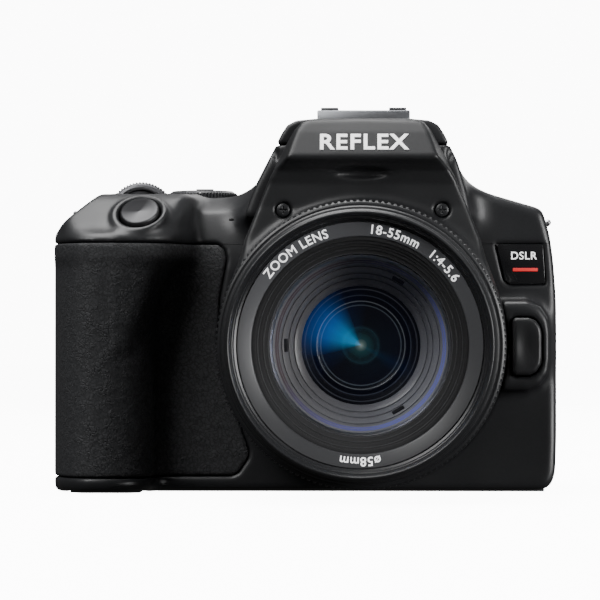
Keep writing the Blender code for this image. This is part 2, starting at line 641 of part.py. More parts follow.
def side_and_base():
    flap = block("port_cover_front", (45.5, -24.7, 12.3), (47, -15.1, 47.7), 0.3)
    finish(flap, "grip_rubber", (47, -24.7, 30))
    flap = block("port_cover_rear", (45.5, -14.6, 12.3), (47, -4.3, 47.7), 0.3)
    finish(flap, "grip_rubber", (47, -4.3, 30))
    outline = [(-70.5, -8), (-70.5, -38), (-67.5, -42), (-56, -42), (DOOR_HINGE_X, -39.5), (DOOR_HINGE_X, -8)]
    door = prism("battery_door", outline, "Z", 0, 2.0)
    cut(door, block("latch_tool", (-69.3, -31.3, -1), (-60.7, -22.7, 1.3)))
    finish(door, "body_plastic", (DOOR_HINGE_X, -26, 0))
    finish(block("battery_latch", (-69, -31, 0.15), (-63.5, -23, 1.0)), "gloss_black", (-66, -27, 0.5))
    finish(block("battery_pack", (-69.3, -40, 3.4), (-55.3, -9, 53), 0.8), "battery_plastic")
    profile = [(3.1, 0.2), (SOCKET_R, 0.2), (SOCKET_R, 8.5), (3.1, 8.5)]
    socket = turned("tripod_socket", profile, (0, SOCKET_Y, 0), (0, 0, 1), 24)
    finish(socket, "bright_metal")
    strap_lug("strap_lug_left", (-70.3, 0, 66.1), (-0.6, 0, 0.8), 3.6, "bright_metal")
    strap_lug("strap_lug_right", (44.3, 2, 65.5), (0.93, 0, 0.37), 2.6, "gloss_black")


def strap_lug(name, point, out, reach, finish_name):
    """A flat metal loop that stands on the shoulder, with a slot for the strap."""
    loop = block(name, (-0.8, -5.5, 0.3), (0.8, 5.5, reach), 0.5)
    cut(loop, block("slot_tool", (-3, -4.1, 0.9), (3, 4.1, reach - 0.8)))
    turn = Vector(out).normalized().to_track_quat("Z", "Y").to_matrix().to_4x4()
    loop.data.transform(Matrix.Translation(Vector(point) * MM) @ turn @ Matrix.Rotation(math.pi / 2, 4, "Z"))
    finish(loop, finish_name)


# ---------------------------------------------------------------- inside the body


def inside():
    box = block("mirror_box", (-15.5, -40, 19), (15.5, -4.5, 53))
    cut(box, block("tunnel_tool", (-13.9, -60, 20.6), (13.9, 20, 51.4)))
    cut(box, block("light_tool", (-12.5, -37, 45), (12.5, -12, 60)))
    finish(box, "inner_black")
    hinge = (0, -9.0, 49.5)
    mirror = block("reflex_mirror", (-12.8, -28, -0.6), (12.8, 0, 0.6))
    mirror.data.transform(Matrix.Translation(Vector(hinge) * MM) @ Matrix.Rotation(math.radians(45), 4, "X"))
    finish(mirror, "mirror", hinge)
    side = [(-28, 54), (-12, 54), (-8, 62), (-8, 72), (-16, 77), (-24, 76.5), (-28, 70)]
    finish(prism("pentamirror", side, "X", -14, 14), "inner_black")
    finish(block("image_sensor", (-15, 0, 23.5), (15, 2.2, 47.5)), "screen_glass")
    board = block("main_board", (-46, 4.0, 8), (38, 5.4, 56))
    cut(board, block("notch_tool", (-60, -5, 40), (-36, 10, 60)))
    finish(board, "circuit_board")


# ---------------------------------------------------------------- lens


def lens():
    """The lens: its rings are turned from profiles of (radius, y)."""
    ring = turned("mount_ring", [(27.2, MOUNT_Y), (32.2, MOUNT_Y), (32.2, -41.4), (27.2, -41.4)], steps=48)
    cut(ring, rod("pin_tool", (PIN_X, 0, AXIS_Z), (0, 1, 0), 1.45, -50, -30, 12))
    finish(ring, "bright_metal")
    profile = [(23.8, -46.4), (31.7, -46.4), (31.7, -44.3), (26.8, -44.3), (26.8, -39), (23.8, -39)]
    bayonet = turned("lens_bayonet", profile, steps=44)
    cut(bayonet, rod("pin_tool", (PIN_X, 0, AXIS_Z), (0, 1, 0), 1.6, -45.6, -30, 12))
    finish(bayonet, "lens_barrel")
    lens_ring("lens_barrel", BARREL_PROFILE, "lens_barrel", None)
    lens_ring("zoom_ring", ZOOM_RING_PROFILE, "lens_barrel", -74, 48)
    lens_ring("inner_barrel", INNER_BARREL_PROFILE, "lens_barrel", -84)
    lens_ring("focus_ring", FOCUS_RING_PROFILE, "lens_barrel", -93.7)
    lens_ring("front_trim_ring", NAME_RING_PROFILE, "lens_barrel", -100)
    lens_ring("front_element", FRONT_GLASS_PROFILE, "glass", -96, 36)
    lens_ring("optical_cell", OPTICAL_CELL_PROFILE, "inner_black", -80, 36)


def lens_ring(name, profile, finish_name, pivot_y, steps=44):
    pivot = None if pivot_y is None else (0, pivot_y, AXIS_Z)
    finish(turned(name, profile, steps=steps), finish_name, pivot)


def main():
    clear_scene()
    collection = bpy.data.collections.new("camera")
    bpy.context.scene.collection.children.link(collection)
    covers()
    bottom_plate()
    front_panel()
    panel_screw("panel_screw_left", -SCREW_X)
    panel_screw("panel_screw_right", SCREW_X)
    nameplate()
    hot_shoe()
    flash()
    top_controls()
    release()
    rear_controls()
    finder()
    screen()
    side_and_base()
    inside()
    lens()


main()
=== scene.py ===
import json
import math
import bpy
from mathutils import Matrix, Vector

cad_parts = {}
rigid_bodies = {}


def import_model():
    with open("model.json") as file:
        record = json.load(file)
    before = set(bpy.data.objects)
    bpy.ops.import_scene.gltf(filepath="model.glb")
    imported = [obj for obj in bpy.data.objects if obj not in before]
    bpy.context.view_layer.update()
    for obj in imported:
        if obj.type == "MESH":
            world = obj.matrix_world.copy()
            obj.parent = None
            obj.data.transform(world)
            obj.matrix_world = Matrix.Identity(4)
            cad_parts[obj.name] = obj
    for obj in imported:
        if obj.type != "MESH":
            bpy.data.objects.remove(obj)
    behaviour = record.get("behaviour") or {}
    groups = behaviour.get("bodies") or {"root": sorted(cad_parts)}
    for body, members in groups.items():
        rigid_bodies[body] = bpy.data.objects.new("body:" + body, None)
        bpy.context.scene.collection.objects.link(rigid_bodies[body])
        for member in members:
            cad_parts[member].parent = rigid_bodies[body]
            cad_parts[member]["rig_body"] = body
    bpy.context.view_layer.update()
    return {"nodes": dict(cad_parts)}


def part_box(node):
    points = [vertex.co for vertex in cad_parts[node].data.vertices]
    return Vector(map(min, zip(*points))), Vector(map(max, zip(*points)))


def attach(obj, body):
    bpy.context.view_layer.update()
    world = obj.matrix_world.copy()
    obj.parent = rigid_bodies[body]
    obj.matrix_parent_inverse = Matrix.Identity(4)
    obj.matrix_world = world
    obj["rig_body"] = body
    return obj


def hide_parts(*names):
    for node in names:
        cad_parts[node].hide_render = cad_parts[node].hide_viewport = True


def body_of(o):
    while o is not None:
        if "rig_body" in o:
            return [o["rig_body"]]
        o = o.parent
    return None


bl_info = {
    "name": "Compact reflex camera",
    "version": (1, 0, 0),
    "blender": (4, 5, 0),
    "location": "View3D > Sidebar > Camera",
    "description": "Builds the covers, rubber, dials, lens rings and glass of a compact reflex camera",
    "category": "Add Mesh",
}

import bmesh
import bpy
import numpy as np
import openvdb
from mathutils import Matrix, Vector

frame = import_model()

MM = 0.001
ROOT = "body"

# Places below are in millimetres, as in the design: X across, Y from the lens to the screen, Z up.


def span(node):
    """The lowest and highest corner of a node, in millimetres."""
    low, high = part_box(node)
    return low / MM, high / MM


LENS_AXIS = (0.0, sum(c.z for c in span("zoom_ring")) / 2)  # (x, z)
SHUTTER_POINT = Vector((-53.5, -42.2, 67.3))
SHUTTER_AXIS = Vector((-0.10, -0.665, 0.740)).normalized()

# The front view of the body without its finder hump: (x, z).
BODY_OUTLINE = [
    (-73.8, 0.15), (43.2, 0.15), (45.6, 1.6), (46.6, 4.5), (46.9, 12), (46.9, 46), (46.2, 56),
    (45.3, 62.5), (43.6, 68.0), (42.4, 68.9), (28, 73.1), (-28, 72.6), (-32, 72.2), (-73.8, 72.2),
]
HUMP_OUTLINE = [
    (-29, 66), (-26.0, 74), (-22.9, 80), (-19.6, 86.6), (-18.2, 88.7), (-16.0, 89.8), (-11, 90.25),
    (11, 90.25), (16.0, 89.8), (18.2, 88.7), (19.6, 86.6), (22.9, 80), (24.6, 74), (26.2, 66),
]
EYEPIECE_OUTLINE = [(-15, 63), (15, 63), (16, 66), (15.5, 80), (13, 84), (-13, 84), (-15.5, 80), (-16, 66)]
# The grip from above, round to the thumb's bulge at the back: (x, y).
GRIP_OUTLINE = [
    (-74.9, 12), (-74.9, -22), (-74.0, -35), (-72.9, -40), (-71.0, -44.2), (-68.3, -47.6), (-65, -49.4),
    (-60, -49.4), (-55.5, -47.6), (-52.4, -44.6), (-50.6, -40), (-49, 0), (-56.5, 15.2), (-62, 18.6),
    (-70, 18.6), (-73.6, 16.5),
]
SHELF_OUTLINE = [
    (-74.8, -5), (-74.8, -22), (-73.9, -35), (-72.7, -40), (-70.6, -44.2), (-67.6, -47.0), (-64, -48),
    (-56, -48), (-52, -47.4), (-48.6, -45.6), (-45.6, -42.4), (-43.2, -37.5), (-41.8, -32), (-40.6, -24),
    (-39.5, -5),
]
RUBBER_OUTLINE = [
    (-90, 3.9), (-32, 3.9), (-30.2, 4.6), (-27.8, 8.2), (-27.6, 10), (-31, 19.7), (-34.3, 28), (-35.2, 37),
    (-34.8, 47), (-33.0, 56.4), (-33.6, 58.8), (-35.3, 60.0), (-90, 60.0),
]
THUMB_SKIN_OUTLINE = [(-80, 24), (-63, 24), (-60, 27), (-58.6, 33), (-58, 50), (-60, 57), (-80, 57)]
RELEASE_OUTLINE = [
    (35.9, 28.9), (36.5, 28.3), (39.9, 28.3), (41.5, 29.1), (42.6, 30.7), (42.9, 32.4), (42.9, 38.1),
    (42.6, 39.8), (41.5, 41.4), (39.9, 42.1), (36.5, 42.1), (35.9, 41.5),
]
BOSS_OUTLINE = [
    (28, 24.6), (39.6, 24.6), (42.6, 25.9), (44.5, 28.6), (45.0, 32), (45.0, 38.6), (44.5, 42),
    (42.6, 44.9),
    (39.6, 46.2), (28, 46.2),
]
NAMEPLATE_OUTLINE = [(35.6, 50.2), (44.2, 50.4), (43.6, 60), (32.3, 60), (34.3, 51.4)]
PANEL_OUTLINE = [
    (-33, 44), (-28.4, 61), (-22.3, 76), (-18.2, 84.2), (-16.4, 87.4), (-14.8, 89.2), (-13.0, 89.9),
    (0, 90.2),
    (13.0, 89.9), (14.8, 89.2), (16.4, 87.4), (18.2, 84.2), (22.3, 76), (28.4, 61), (33, 44), (33.4, 35.5),
    (-33.4, 35.5),
]
# The centre panel from the side: (y, z), with the brow's lip foremost.
PANEL_SIDE = [
    (-38.35, 20), (-38.35, 90.5), (-39.7, 90.5), (-42.2, 86.7), (-45.2, 81.2), (-45.35, 80.6),
    (-45.0, 80.0),
    (-43.8, 79.2), (-41.7, 77.4), (-40.5, 74.4), (-40.3, 69), (-41.1, 61), (-42.5, 53), (-42.8, 44),
    (-42.8, 20),
]

SEAM_Z = 60.05
SEAM_Y = -10.85
WALL = 2.1


# ---------------------------------------------------------------- sizes and colours


def length(name, description, default):
    return bpy.props.FloatProperty(
        name=name, description=description, default=default * MM, min=0.0, subtype="DISTANCE", unit="LENGTH"
    )


def colour(name, description, default):
    return bpy.props.FloatVectorProperty(
        name=name, description=description, default=default, subtype="COLOR", size=3, min=0.0, max=1.0
    )


class CameraSizes(bpy.types.PropertyGroup):
    shell_cell: length("Cover cell", "Mesh size of the moulded covers", 0.5)
    panel_cell: length("Panel cell", "Mesh size of the centre panel and the rubber", 0.38)
    lens_radius: length("Lens radius", "Outer radius over the zoom ring's ribs", (span("zoom_ring")[1].x))
    zoom_ribs: bpy.props.IntProperty(
        name="Zoom ribs", description="Ribs round the zoom ring", default=144, min=24
    )
    focus_ribs: bpy.props.IntProperty(
        name="Focus ribs", description="Ribs round the focus ring", default=120, min=24
    )
    dial_teeth: bpy.props.IntProperty(
        name="Dial teeth", description="Teeth round the main dial", default=64, min=12
    )
    mode_teeth: bpy.props.IntProperty(
        name="Mode dial teeth", description="Teeth round the mode dial", default=64, min=12
    )
    grain: length("Leather grain", "Size of the rubber's leather grain", 1.0)


class CameraColours(bpy.types.PropertyGroup):
    plastic: colour("Body plastic", "Matte moulded covers", (0.016, 0.0165, 0.018))
    panel: colour("Centre panel", "Satin panel over the lens", (0.0135, 0.0139, 0.015))
    rubber: colour("Rubber", "Grip and thumb rubber", (0.0238, 0.0245, 0.0266))
    barrel: colour("Lens barrel", "Satin lens rings", (0.016, 0.0165, 0.018))
    name_ring: colour("Name ring", "Cone round the front glass", (0.060, 0.061, 0.065))
    marking: colour("Markings", "Printed numbers and marks", (0.80, 0.80, 0.80))
    accent: colour("Accent", "Bar on the nameplate", (0.55, 0.02, 0.02))
    # The tint of the painted coated reflection on the inner glass.
    coating: colour("Lens coating", "Reflection of the coated glass", (0.02, 0.20, 0.42))


def sizes():
    return bpy.context.scene.camera_sizes


def colours():
    return bpy.context.scene.camera_colours


# ---------------------------------------------------------------- materials


def new_material(name):
    """A material, its nodes and its Principled shader."""
    made = bpy.data.materials.new(name)
    made.use_nodes = True
    return made, made.node_tree, made.node_tree.nodes["Principled BSDF"]


def feed(tree, value, socket):
    """Links a socket to an input, or sets a plain value on it."""
    if isinstance(value, bpy.types.NodeSocket):
        tree.links.new(value, socket)
    else:
        socket.default_value = value


def shade(tree, shader, **inputs):
    """Feeds the shader's inputs. An underscore stands for the space in a name."""
    for key, value in inputs.items():
        feed(tree, value, shader.inputs[key.replace("_", " ")])


def node(tree, kind, **settings):
    """A shader node with its inputs fed and its properties set."""
    made = tree.nodes.new("ShaderNode" + kind)
    for key, value in settings.items():
        label = key.replace("_", " ")
        if label in made.inputs:
            feed(tree, value, made.inputs[label])
        else:
            setattr(made, key, value)
    return made


def maths(tree, operation, *values, kind="Math", result="Value"):
    """The result of an operation on values in order."""
    made = node(tree, kind, operation=operation)
    for value, socket in zip(values, made.inputs):
        feed(tree, value, socket)
    return made.outputs[result]


def own_place(tree):
    """Each point's place in the piece's own axes."""
    return node(tree, "TexCoord").outputs["Object"]


def texture(tree, kind, size, **settings):
    """A texture with features about size millimetres across."""
    return node(tree, kind, Vector=own_place(tree), Scale=1 / (size * MM), **settings)


def scaled(tree, value, low, high, from_low=0.0, from_high=1.0):
    """Maps a value to a range."""
    made = node(
        tree, "MapRange", Value=value, From_Min=from_low, From_Max=from_high, To_Min=low, To_Max=high
    )
    return made.outputs["Result"]


def tinted(tree, value, dark, light):
    """A colour between two, by a value."""
    made = node(tree, "Mix", data_type="RGBA", Factor=value, A=(*dark, 1), B=(*light, 1))
    return made.outputs["Result"]


def toned(tree, value, base, low, high):
    """Shades of one colour, from low to high times its strength, by a value."""
    return tinted(tree, value, [c * low for c in base], [min(c * high, 1) for c in base])


def mixed(tree, operation, first, second):
    """Two colours combined."""
    made = node(tree, "Mix", data_type="RGBA", blend_type=operation, Factor=1.0, A=first, B=second)
    return made.outputs["Result"]


def colour_ramp(tree, value, stops):
    """A colour by a value from 0 to 1, from stops of (value, colour)."""
    made = node(tree, "ValToRGB", Fac=value)
    ramp = made.color_ramp
    while len(ramp.elements) < len(stops):
        ramp.elements.new(0.5)
    for element, (position, tone) in zip(ramp.elements, stops):
        element.position = position
        element.color = (*tone, 1)
    return made.outputs["Color"]


def bumped(tree, shader, height, strength, depth):
    """Feeds a height, of depth millimetres, to the shader's normal."""
    bump = node(tree, "Bump", Strength=strength, Distance=depth * MM, Height=height)
    shade(tree, shader, Normal=bump.outputs["Normal"])


def painted_light_fan(tree, middle, stops):
    """A colour of painted light by the angle about the piece's own Z: stop 0 at the middle, in degrees, 1
    opposite.
    """
    spin = node(tree, "Mapping", Vector=own_place(tree), Rotation=(0, 0, -math.radians(middle)))
    split = node(tree, "SeparateXYZ", Vector=spin.outputs["Vector"])
    angle = maths(tree, "ABSOLUTE", maths(tree, "ARCTAN2", split.outputs["Y"], split.outputs["X"]))
    return colour_ramp(tree, scaled(tree, angle, 0, 1, 0, math.pi), stops)


def moulded(name, base, roughness, texture_size=0.35, depth=0.02, strength=0.35):
    """Moulded plastic: spark-eroded texture, with slight unevenness in gloss and tone."""
    made, tree, shader = new_material(name)
    fine = texture(tree, "TexNoise", texture_size, Detail=3.0, Roughness=0.6).outputs["Fac"]
    broad = texture(tree, "TexNoise", 14.0, Detail=2.0).outputs["Fac"]
    dark, light = ([c * k for c in base] for k in (0.88, 1.14))
    shade(tree, shader, Roughness=scaled(tree, broad, roughness - 0.05, roughness + 0.06, 0.3, 0.7))
    shade(tree, shader, Base_Color=tinted(tree, scaled(tree, fine, 0, 1, 0.3, 0.7), dark, light))
    bumped(tree, shader, fine, strength, depth)
    return made


def leather(name, base, grain):
    """Rubber moulded with a fine leather grain: soft creases between small irregular pads, painted darker as
    shade.
    """
    made, tree, shader = new_material(name)
    warp = texture(tree, "TexNoise", grain * 1.1, Detail=3.0).outputs["Color"]
    reach = (1.6 * grain * MM,) * 3
    push = maths(tree, "MULTIPLY_ADD", warp, reach, own_place(tree), kind="VectorMath", result="Vector")
    pads = node(tree, "TexVoronoi", feature="DISTANCE_TO_EDGE", Scale=1 / (grain * MM), Vector=push)
    creases = scaled(tree, pads.outputs["Distance"], 0, 1, 0.0, 0.16)
    depth = texture(tree, "TexNoise", grain * 2.2, Detail=1.0).outputs["Fac"]
    pores = texture(tree, "TexNoise", grain * 0.3, Detail=3.0).outputs["Fac"]
    height = maths(tree, "MULTIPLY_ADD", creases, scaled(tree, depth, 0.1, 1.0, 0.35, 0.65), 0.0)
    height = maths(tree, "MULTIPLY_ADD", pores, 0.45, height)
    shade(tree, shader, Roughness=scaled(tree, creases, 0.74, 0.60))
    # Painted shade: the creases are darker in colour, the pads lighter.
    shade(tree, shader, Base_Color=toned(tree, creases, base, 0.55, 1.2))
    bumped(tree, shader, height, 0.85, 0.14)
    return made


def spun_metal(name, base, roughness, rings):
    """Turned metal: fine rings about the piece's own Z axis, which draw out a fan of light."""
    made, tree, shader = new_material(name)
    round_axis = node(tree, "Tangent", direction_type="RADIAL", axis="Z").outputs["Tangent"]
    wave = texture(tree, "TexWave", rings, wave_type="RINGS", rings_direction="Z", Distortion=0.4)
    lines = wave.outputs["Fac"]
    shade(tree, shader, Tangent=round_axis, Anisotropic=0.85, Metallic=1.0)
    shade(tree, shader, Base_Color=toned(tree, lines, base, 0.8, 1.15))
    shade(tree, shader, Roughness=scaled(tree, lines, roughness - 0.04, roughness + 0.06))
    bumped(tree, shader, lines, 0.5, 0.01)
    return made


def brushed(name, base, roughness):
    """Pressed or plated metal with fine scratches and handling marks."""
    made, tree, shader = new_material(name)
    marks = texture(tree, "TexNoise", 0.5, Detail=6.0, Roughness=0.7, Distortion=1.5).outputs["Fac"]
    shade(tree, shader, Metallic=1.0, Base_Color=toned(tree, marks, base, 0.85, 1.1))
    shade(tree, shader, Roughness=scaled(tree, marks, roughness - 0.08, roughness + 0.1, 0.3, 0.7))
    bumped(tree, shader, marks, 0.12, 0.01)
    return made


def painted_light_rings(name, middle, painted_lit_tone, painted_shade_tone, roughness, metallic=0.0):
    """Satin rings with painted light: lighter on one side, darker opposite, by the angle about Z."""
    made, tree, shader = new_material(name)
    grain = texture(tree, "TexNoise", 0.25, Detail=3.0).outputs["Fac"]
    halfway = tuple((a + b) / 2 for a, b in zip(painted_lit_tone, painted_shade_tone))
    # Painted light: the lighter tone at the middle angle, the darker tone opposite.
    tone = painted_light_fan(tree, middle, [(0.0, painted_lit_tone), (0.25, painted_lit_tone), (0.45, halfway), (0.7, painted_shade_tone), (1.0, painted_shade_tone)])
    speckle = tinted(tree, grain, (0.82,) * 3, (1.0,) * 3)
    shade(tree, shader, Metallic=metallic, Base_Color=mixed(tree, "MULTIPLY", tone, speckle))
    shade(tree, shader, Roughness=scaled(tree, grain, roughness - 0.05, roughness + 0.05))
    bumped(tree, shader, grain, 0.1, 0.01)
    return made


def gloss(name, base, roughness=0.12):
    """Polished plastic or glass over black, with faint smears."""
    made, tree, shader = new_material(name)
    smears = texture(tree, "TexNoise", 9.0, Detail=4.0, Distortion=0.8).outputs["Fac"]
    shade(tree, shader, Coat_Weight=0.5, Coat_Roughness=0.05)
    shade(tree, shader, Roughness=scaled(tree, smears, roughness * 0.6, roughness * 1.6, 0.3, 0.7))
    shade(tree, shader, Base_Color=toned(tree, smears, base, 0.9, 1.1))
    return made


def printed(name, base, glow=0.0):
    """Printed or filled markings. A little glow keeps white paint white in soft light."""
    made, tree, shader = new_material(name)
    ink = texture(tree, "TexNoise", 0.3, Detail=2.0).outputs["Fac"]
    shade(tree, shader, Base_Color=toned(tree, ink, base, 0.92, 1.05), Roughness=0.5)
    shade(tree, shader, Emission_Color=(*base, 1), Emission_Strength=glow)
    return made


def hazed(name, tint, size, low, high):
    """A polished mirror with faint haze."""
    made, tree, shader = new_material(name)
    haze = texture(tree, "TexNoise", size, Detail=3.0).outputs["Fac"]
    shade(tree, shader, Base_Color=(*tint, 1), Metallic=1.0, Roughness=scaled(tree, haze, low, high))
    return made


def clear_glass(name, tint, share):
    """Coated glass: mostly clear, with a tinted mirror for the share of light that the coating returns."""
    made = hazed(name, tint, 6.0, 0.01, 0.05)
    tree = made.node_tree
    blend_shaders(
        tree, share, node(tree, "BsdfTransparent"), tree.nodes["Principled BSDF"], "Material Output"
    )
    return made


def blend_shaders(tree, share, first, second, output):
    """Sends a mix of two shaders, with a share of the second, to the output."""
    mix = tree.nodes.new("ShaderNodeMixShader")
    for value, socket in zip((share, first.outputs[0], second.outputs[0]), mix.inputs):
        feed(tree, value, socket)
    tree.links.new(mix.outputs[0], tree.nodes[output].inputs["Surface"])


def deep_glass(name, coating):
    """The dark inner element with painted reflections: rings by distance from the axis, and a coated fan of
    light.
    """
    made, tree, shader = new_material(name)
    flat = maths(tree, "MULTIPLY", own_place(tree), (1, 1, 0), kind="VectorMath", result="Vector")
    reach = maths(tree, "LENGTH", flat, kind="VectorMath")
    radius = scaled(tree, reach, 0, 1, 0, 13.6 * MM)
    # Painted reflections: a light centre highlight and thin light rings by distance from the axis.
    rings = colour_ramp(tree, radius, [
        (0.00, (0.30, 0.36, 0.33)), (0.05, (0.10, 0.16, 0.15)), (0.11, (0.012, 0.05, 0.055)),
        (0.24, (0.004, 0.012, 0.014)), (0.30, (0.008, 0.026, 0.034)), (0.34, (0.002, 0.003, 0.005)),
        (0.66, (0.001, 0.001, 0.003)), (0.675, (0.08, 0.10, 0.12)), (0.69, (0.001, 0.002, 0.003)),
        (0.73, (0.001, 0.002, 0.003)), (0.74, (0.17, 0.19, 0.21)), (0.755, (0.001, 0.001, 0.003)),
        (0.83, (0.001, 0.001, 0.002)), (0.84, (0.05, 0.06, 0.08)), (0.855, (0.001, 0.001, 0.002)),
        (0.93, (0.001, 0.001, 0.002)), (0.945, (0.06, 0.065, 0.08)), (0.96, (0.001, 0.001, 0.001)),
    ])
    # Painted light: a fan of coated reflection on one side, tinted by the coating colour.
    fan = painted_light_fan(tree, 152, [
        (0.0, (1, 1, 1)), (0.09, (0.85, 0.85, 0.85)), (0.17, (0.35, 0.35, 0.35)),
        (0.24, (0.03, 0.03, 0.04)),
        (0.4, (0, 0, 0)), (0.92, (0.01, 0.01, 0.01)), (1.0, (0.05, 0.05, 0.05)),
    ])
    fade = colour_ramp(tree, radius, [
        (0.0, (0.5, 0.9, 0.9)), (0.10, (0.4, 1, 1)), (0.30, (0.3, 0.95, 1)), (0.60, (0.15, 0.5, 0.9)),
        (0.98, (0.04, 0.12, 0.3)),
    ])
    light = mixed(tree, "MULTIPLY", fan, fade)
    glow = mixed(tree, "MULTIPLY", light, (*[min(c * 1.5, 1) for c in coating], 1))
    painted_reflections = mixed(tree, "ADD", rings, glow)
    # The painted reflections are also sent out as a glow, though the element is no lamp.
    shade(tree, shader, Base_Color=painted_reflections, Emission_Color=painted_reflections, Emission_Strength=0.35)
    shade(tree, shader, Roughness=0.08, Coat_Weight=0.4, Coat_Roughness=0.02)
    return made


# Each finish has the slot it stands in and what makes it.
FINISHES = {
    "plastic": ("body_plastic", lambda: moulded("cover plastic", colours().plastic, 0.42)),
    "panel": (
        "panel_plastic", lambda: moulded("centre panel plastic", colours().panel, 0.44, 0.25, 0.012, 0.25)
    ),
    "barrel": (
        "lens_barrel", lambda: moulded("lens barrel plastic", colours().barrel, 0.36, 0.22, 0.01, 0.25)
    ),
    # Painted light: the name ring is lighter at the top and darker at the bottom.
    "name_ring": ("lens_barrel", lambda: painted_light_rings(
        "name ring plastic with painted light", 90, *([c * k for c in colours().name_ring] for k in (2.2, 0.7)), 0.42
    )),
    "baffle": (
        "inner_black", lambda: moulded("baffle plastic", (0.030, 0.031, 0.033), 0.46, 0.2, 0.008, 0.2)
    ),
    # Painted light: the inner barrel rings are lighter towards the lower right, seen from the front, and
    # darker opposite.
    "cell": ("inner_black", lambda: painted_light_rings(
        "inner barrel plastic with painted light", -25, (0.22, 0.225, 0.25), (0.16, 0.157, 0.162), 0.36
    )),
    # Painted reflection: a blue crescent on one side of the glass edge, dark opposite.
    "edge": ("glass", lambda: painted_light_rings(
        "glass edge with painted reflection", -30, (0.20, 0.22, 0.60), (0.10, 0.075, 0.08), 0.25
    )),
    "dark": (
        "inner_black", lambda: moulded("dead matt black", (0.010, 0.010, 0.011), 0.75, 0.4, 0.02, 0.3)
    ),
    "dial": ("body_plastic", lambda: moulded("dial plastic", (0.045, 0.046, 0.049), 0.40, 0.2, 0.01, 0.25)),
    "rubber": ("grip_rubber", lambda: leather("grip rubber", colours().rubber, sizes().grain / MM)),
    "soft": ("grip_rubber", lambda: moulded("plain rubber", (0.018, 0.018, 0.019), 0.68, 0.3, 0.03, 0.4)),
    "gloss": ("gloss_black", lambda: gloss("gloss black", (0.010, 0.010, 0.011), 0.14)),
    "screen": ("screen_glass", lambda: gloss("screen glass", (0.008, 0.009, 0.011), 0.05)),
    # Painted sheen: the shutter button's metal is lighter on one side and dark opposite.
    "spun": ("button_metal", lambda: painted_light_rings(
        "button metal with painted sheen", -55, (0.11, 0.11, 0.113), (0.012, 0.012, 0.013), 0.5, 1.0
    )),
    "dial_face": ("button_metal", lambda: spun_metal("spun dial face", (0.10, 0.10, 0.105), 0.34, 0.3)),
    "metal": ("bright_metal", lambda: brushed("plated steel", (0.62, 0.62, 0.64), 0.30)),
    "shoe": ("bright_metal", lambda: brushed("shoe steel", (0.20, 0.205, 0.215), 0.42)),
    "satin_metal": ("bright_metal", lambda: brushed("satin alloy", (0.30, 0.30, 0.31), 0.38)),
    "mirror": ("mirror", lambda: hazed("silvered mirror", (0.86, 0.87, 0.89), 8.0, 0.01, 0.06)),
    "board": ("circuit_board", lambda: gloss("circuit board", (0.012, 0.10, 0.04), 0.4)),
    "marking": ("body_plastic", lambda: printed("white marking", colours().marking, 1.6)),
    "accent": ("body_plastic", lambda: printed("accent bar", colours().accent, 0.8)),
    "green": ("body_plastic", lambda: printed("green marking", (0.02, 0.35, 0.10))),
    "glass": ("glass", lambda: clear_glass("coated front glass", (0.50, 0.56, 0.95), 0.04)),
    "window": ("glass", lambda: clear_glass("flash lens", (0.8, 0.8, 0.85), 0.25)),
    "deep_glass": ("glass", lambda: deep_glass("inner glass with painted reflections", colours().coating)),
    "floor": (None, lambda: moulded("pale floor", (0.88, 0.88, 0.88), 0.6, 5.0, 0.01, 0.05)),
}
made_finishes = {}


def finish(name):
    """The material of one finish, made when it is first asked for."""
    if name not in made_finishes:
        made_finishes[name] = FINISHES[name][1]()
    return made_finishes[name]


# ---------------------------------------------------------------- placing pieces


def add_piece(name, mesh, finish_name, body=ROOT, nodes=(), matrix=None, smooth=35):
    """Links a mesh as a finished piece that rides on a body and stands for the nodes named."""
    obj = bpy.data.objects.new(name, mesh)
    bpy.context.scene.collection.objects.link(obj)
    if matrix is not None:
        obj.matrix_world = matrix
    mesh.materials.clear()
    mesh.materials.append(finish(finish_name))
    if smooth:
        mesh.shade_smooth()
        mesh.set_sharp_from_angle(angle=math.radians(smooth))
    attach(obj, body)
    if nodes:
        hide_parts(*nodes)
    return obj


def applied(obj):
    """The evaluated mesh of an object, which is then removed."""
    bpy.context.view_layer.update()
    graph = bpy.context.evaluated_depsgraph_get()
    mesh = bpy.data.meshes.new_from_object(obj.evaluated_get(graph))
    bpy.data.objects.remove(obj)
    return mesh


def bmesh_to_mesh(bm, name):
    bmesh.ops.recalc_face_normals(bm, faces=bm.faces)
    mesh = bpy.data.meshes.new(name)
    bm.to_mesh(mesh)
    bm.free()
    return mesh


def softened(mesh, width, segments=2):
    """The mesh with its sharp edges rounded."""
    holder = bpy.data.objects.new("holder", mesh)
    bpy.context.scene.collection.objects.link(holder)
    bevel = holder.modifiers.new("edges", "BEVEL")
    bevel.width = width * MM
    bevel.segments = segments
    bevel.limit_method = "ANGLE"
    bevel.angle_limit = math.radians(28)
    bevel.harden_normals = False
    return applied(holder)


def refined(node, finish_name, edge, segments=2):
    """A finer piece in place of a node: its flats are made whole and its edges are rounded."""
    bm = bmesh.new()
    bm.from_mesh(frame["nodes"][node].data)
    bmesh.ops.remove_doubles(bm, verts=bm.verts, dist=1e-6)
    bmesh.ops.dissolve_limit(
        bm, angle_limit=math.radians(1.0), use_dissolve_boundaries=False, verts=bm.verts, edges=bm.edges
    )
    mesh = softened(bmesh_to_mesh(bm, node), edge, segments)
    body = body_of(frame["nodes"][node])[0]
    return add_piece(node + "_finished", mesh, finish_name, body, [node])


def carried(node, finish_name):
    """A node whose shape is right: it only gets its finish."""
    mesh = frame["nodes"][node].data
    mesh.materials.clear()
    mesh.materials.append(finish(finish_name))


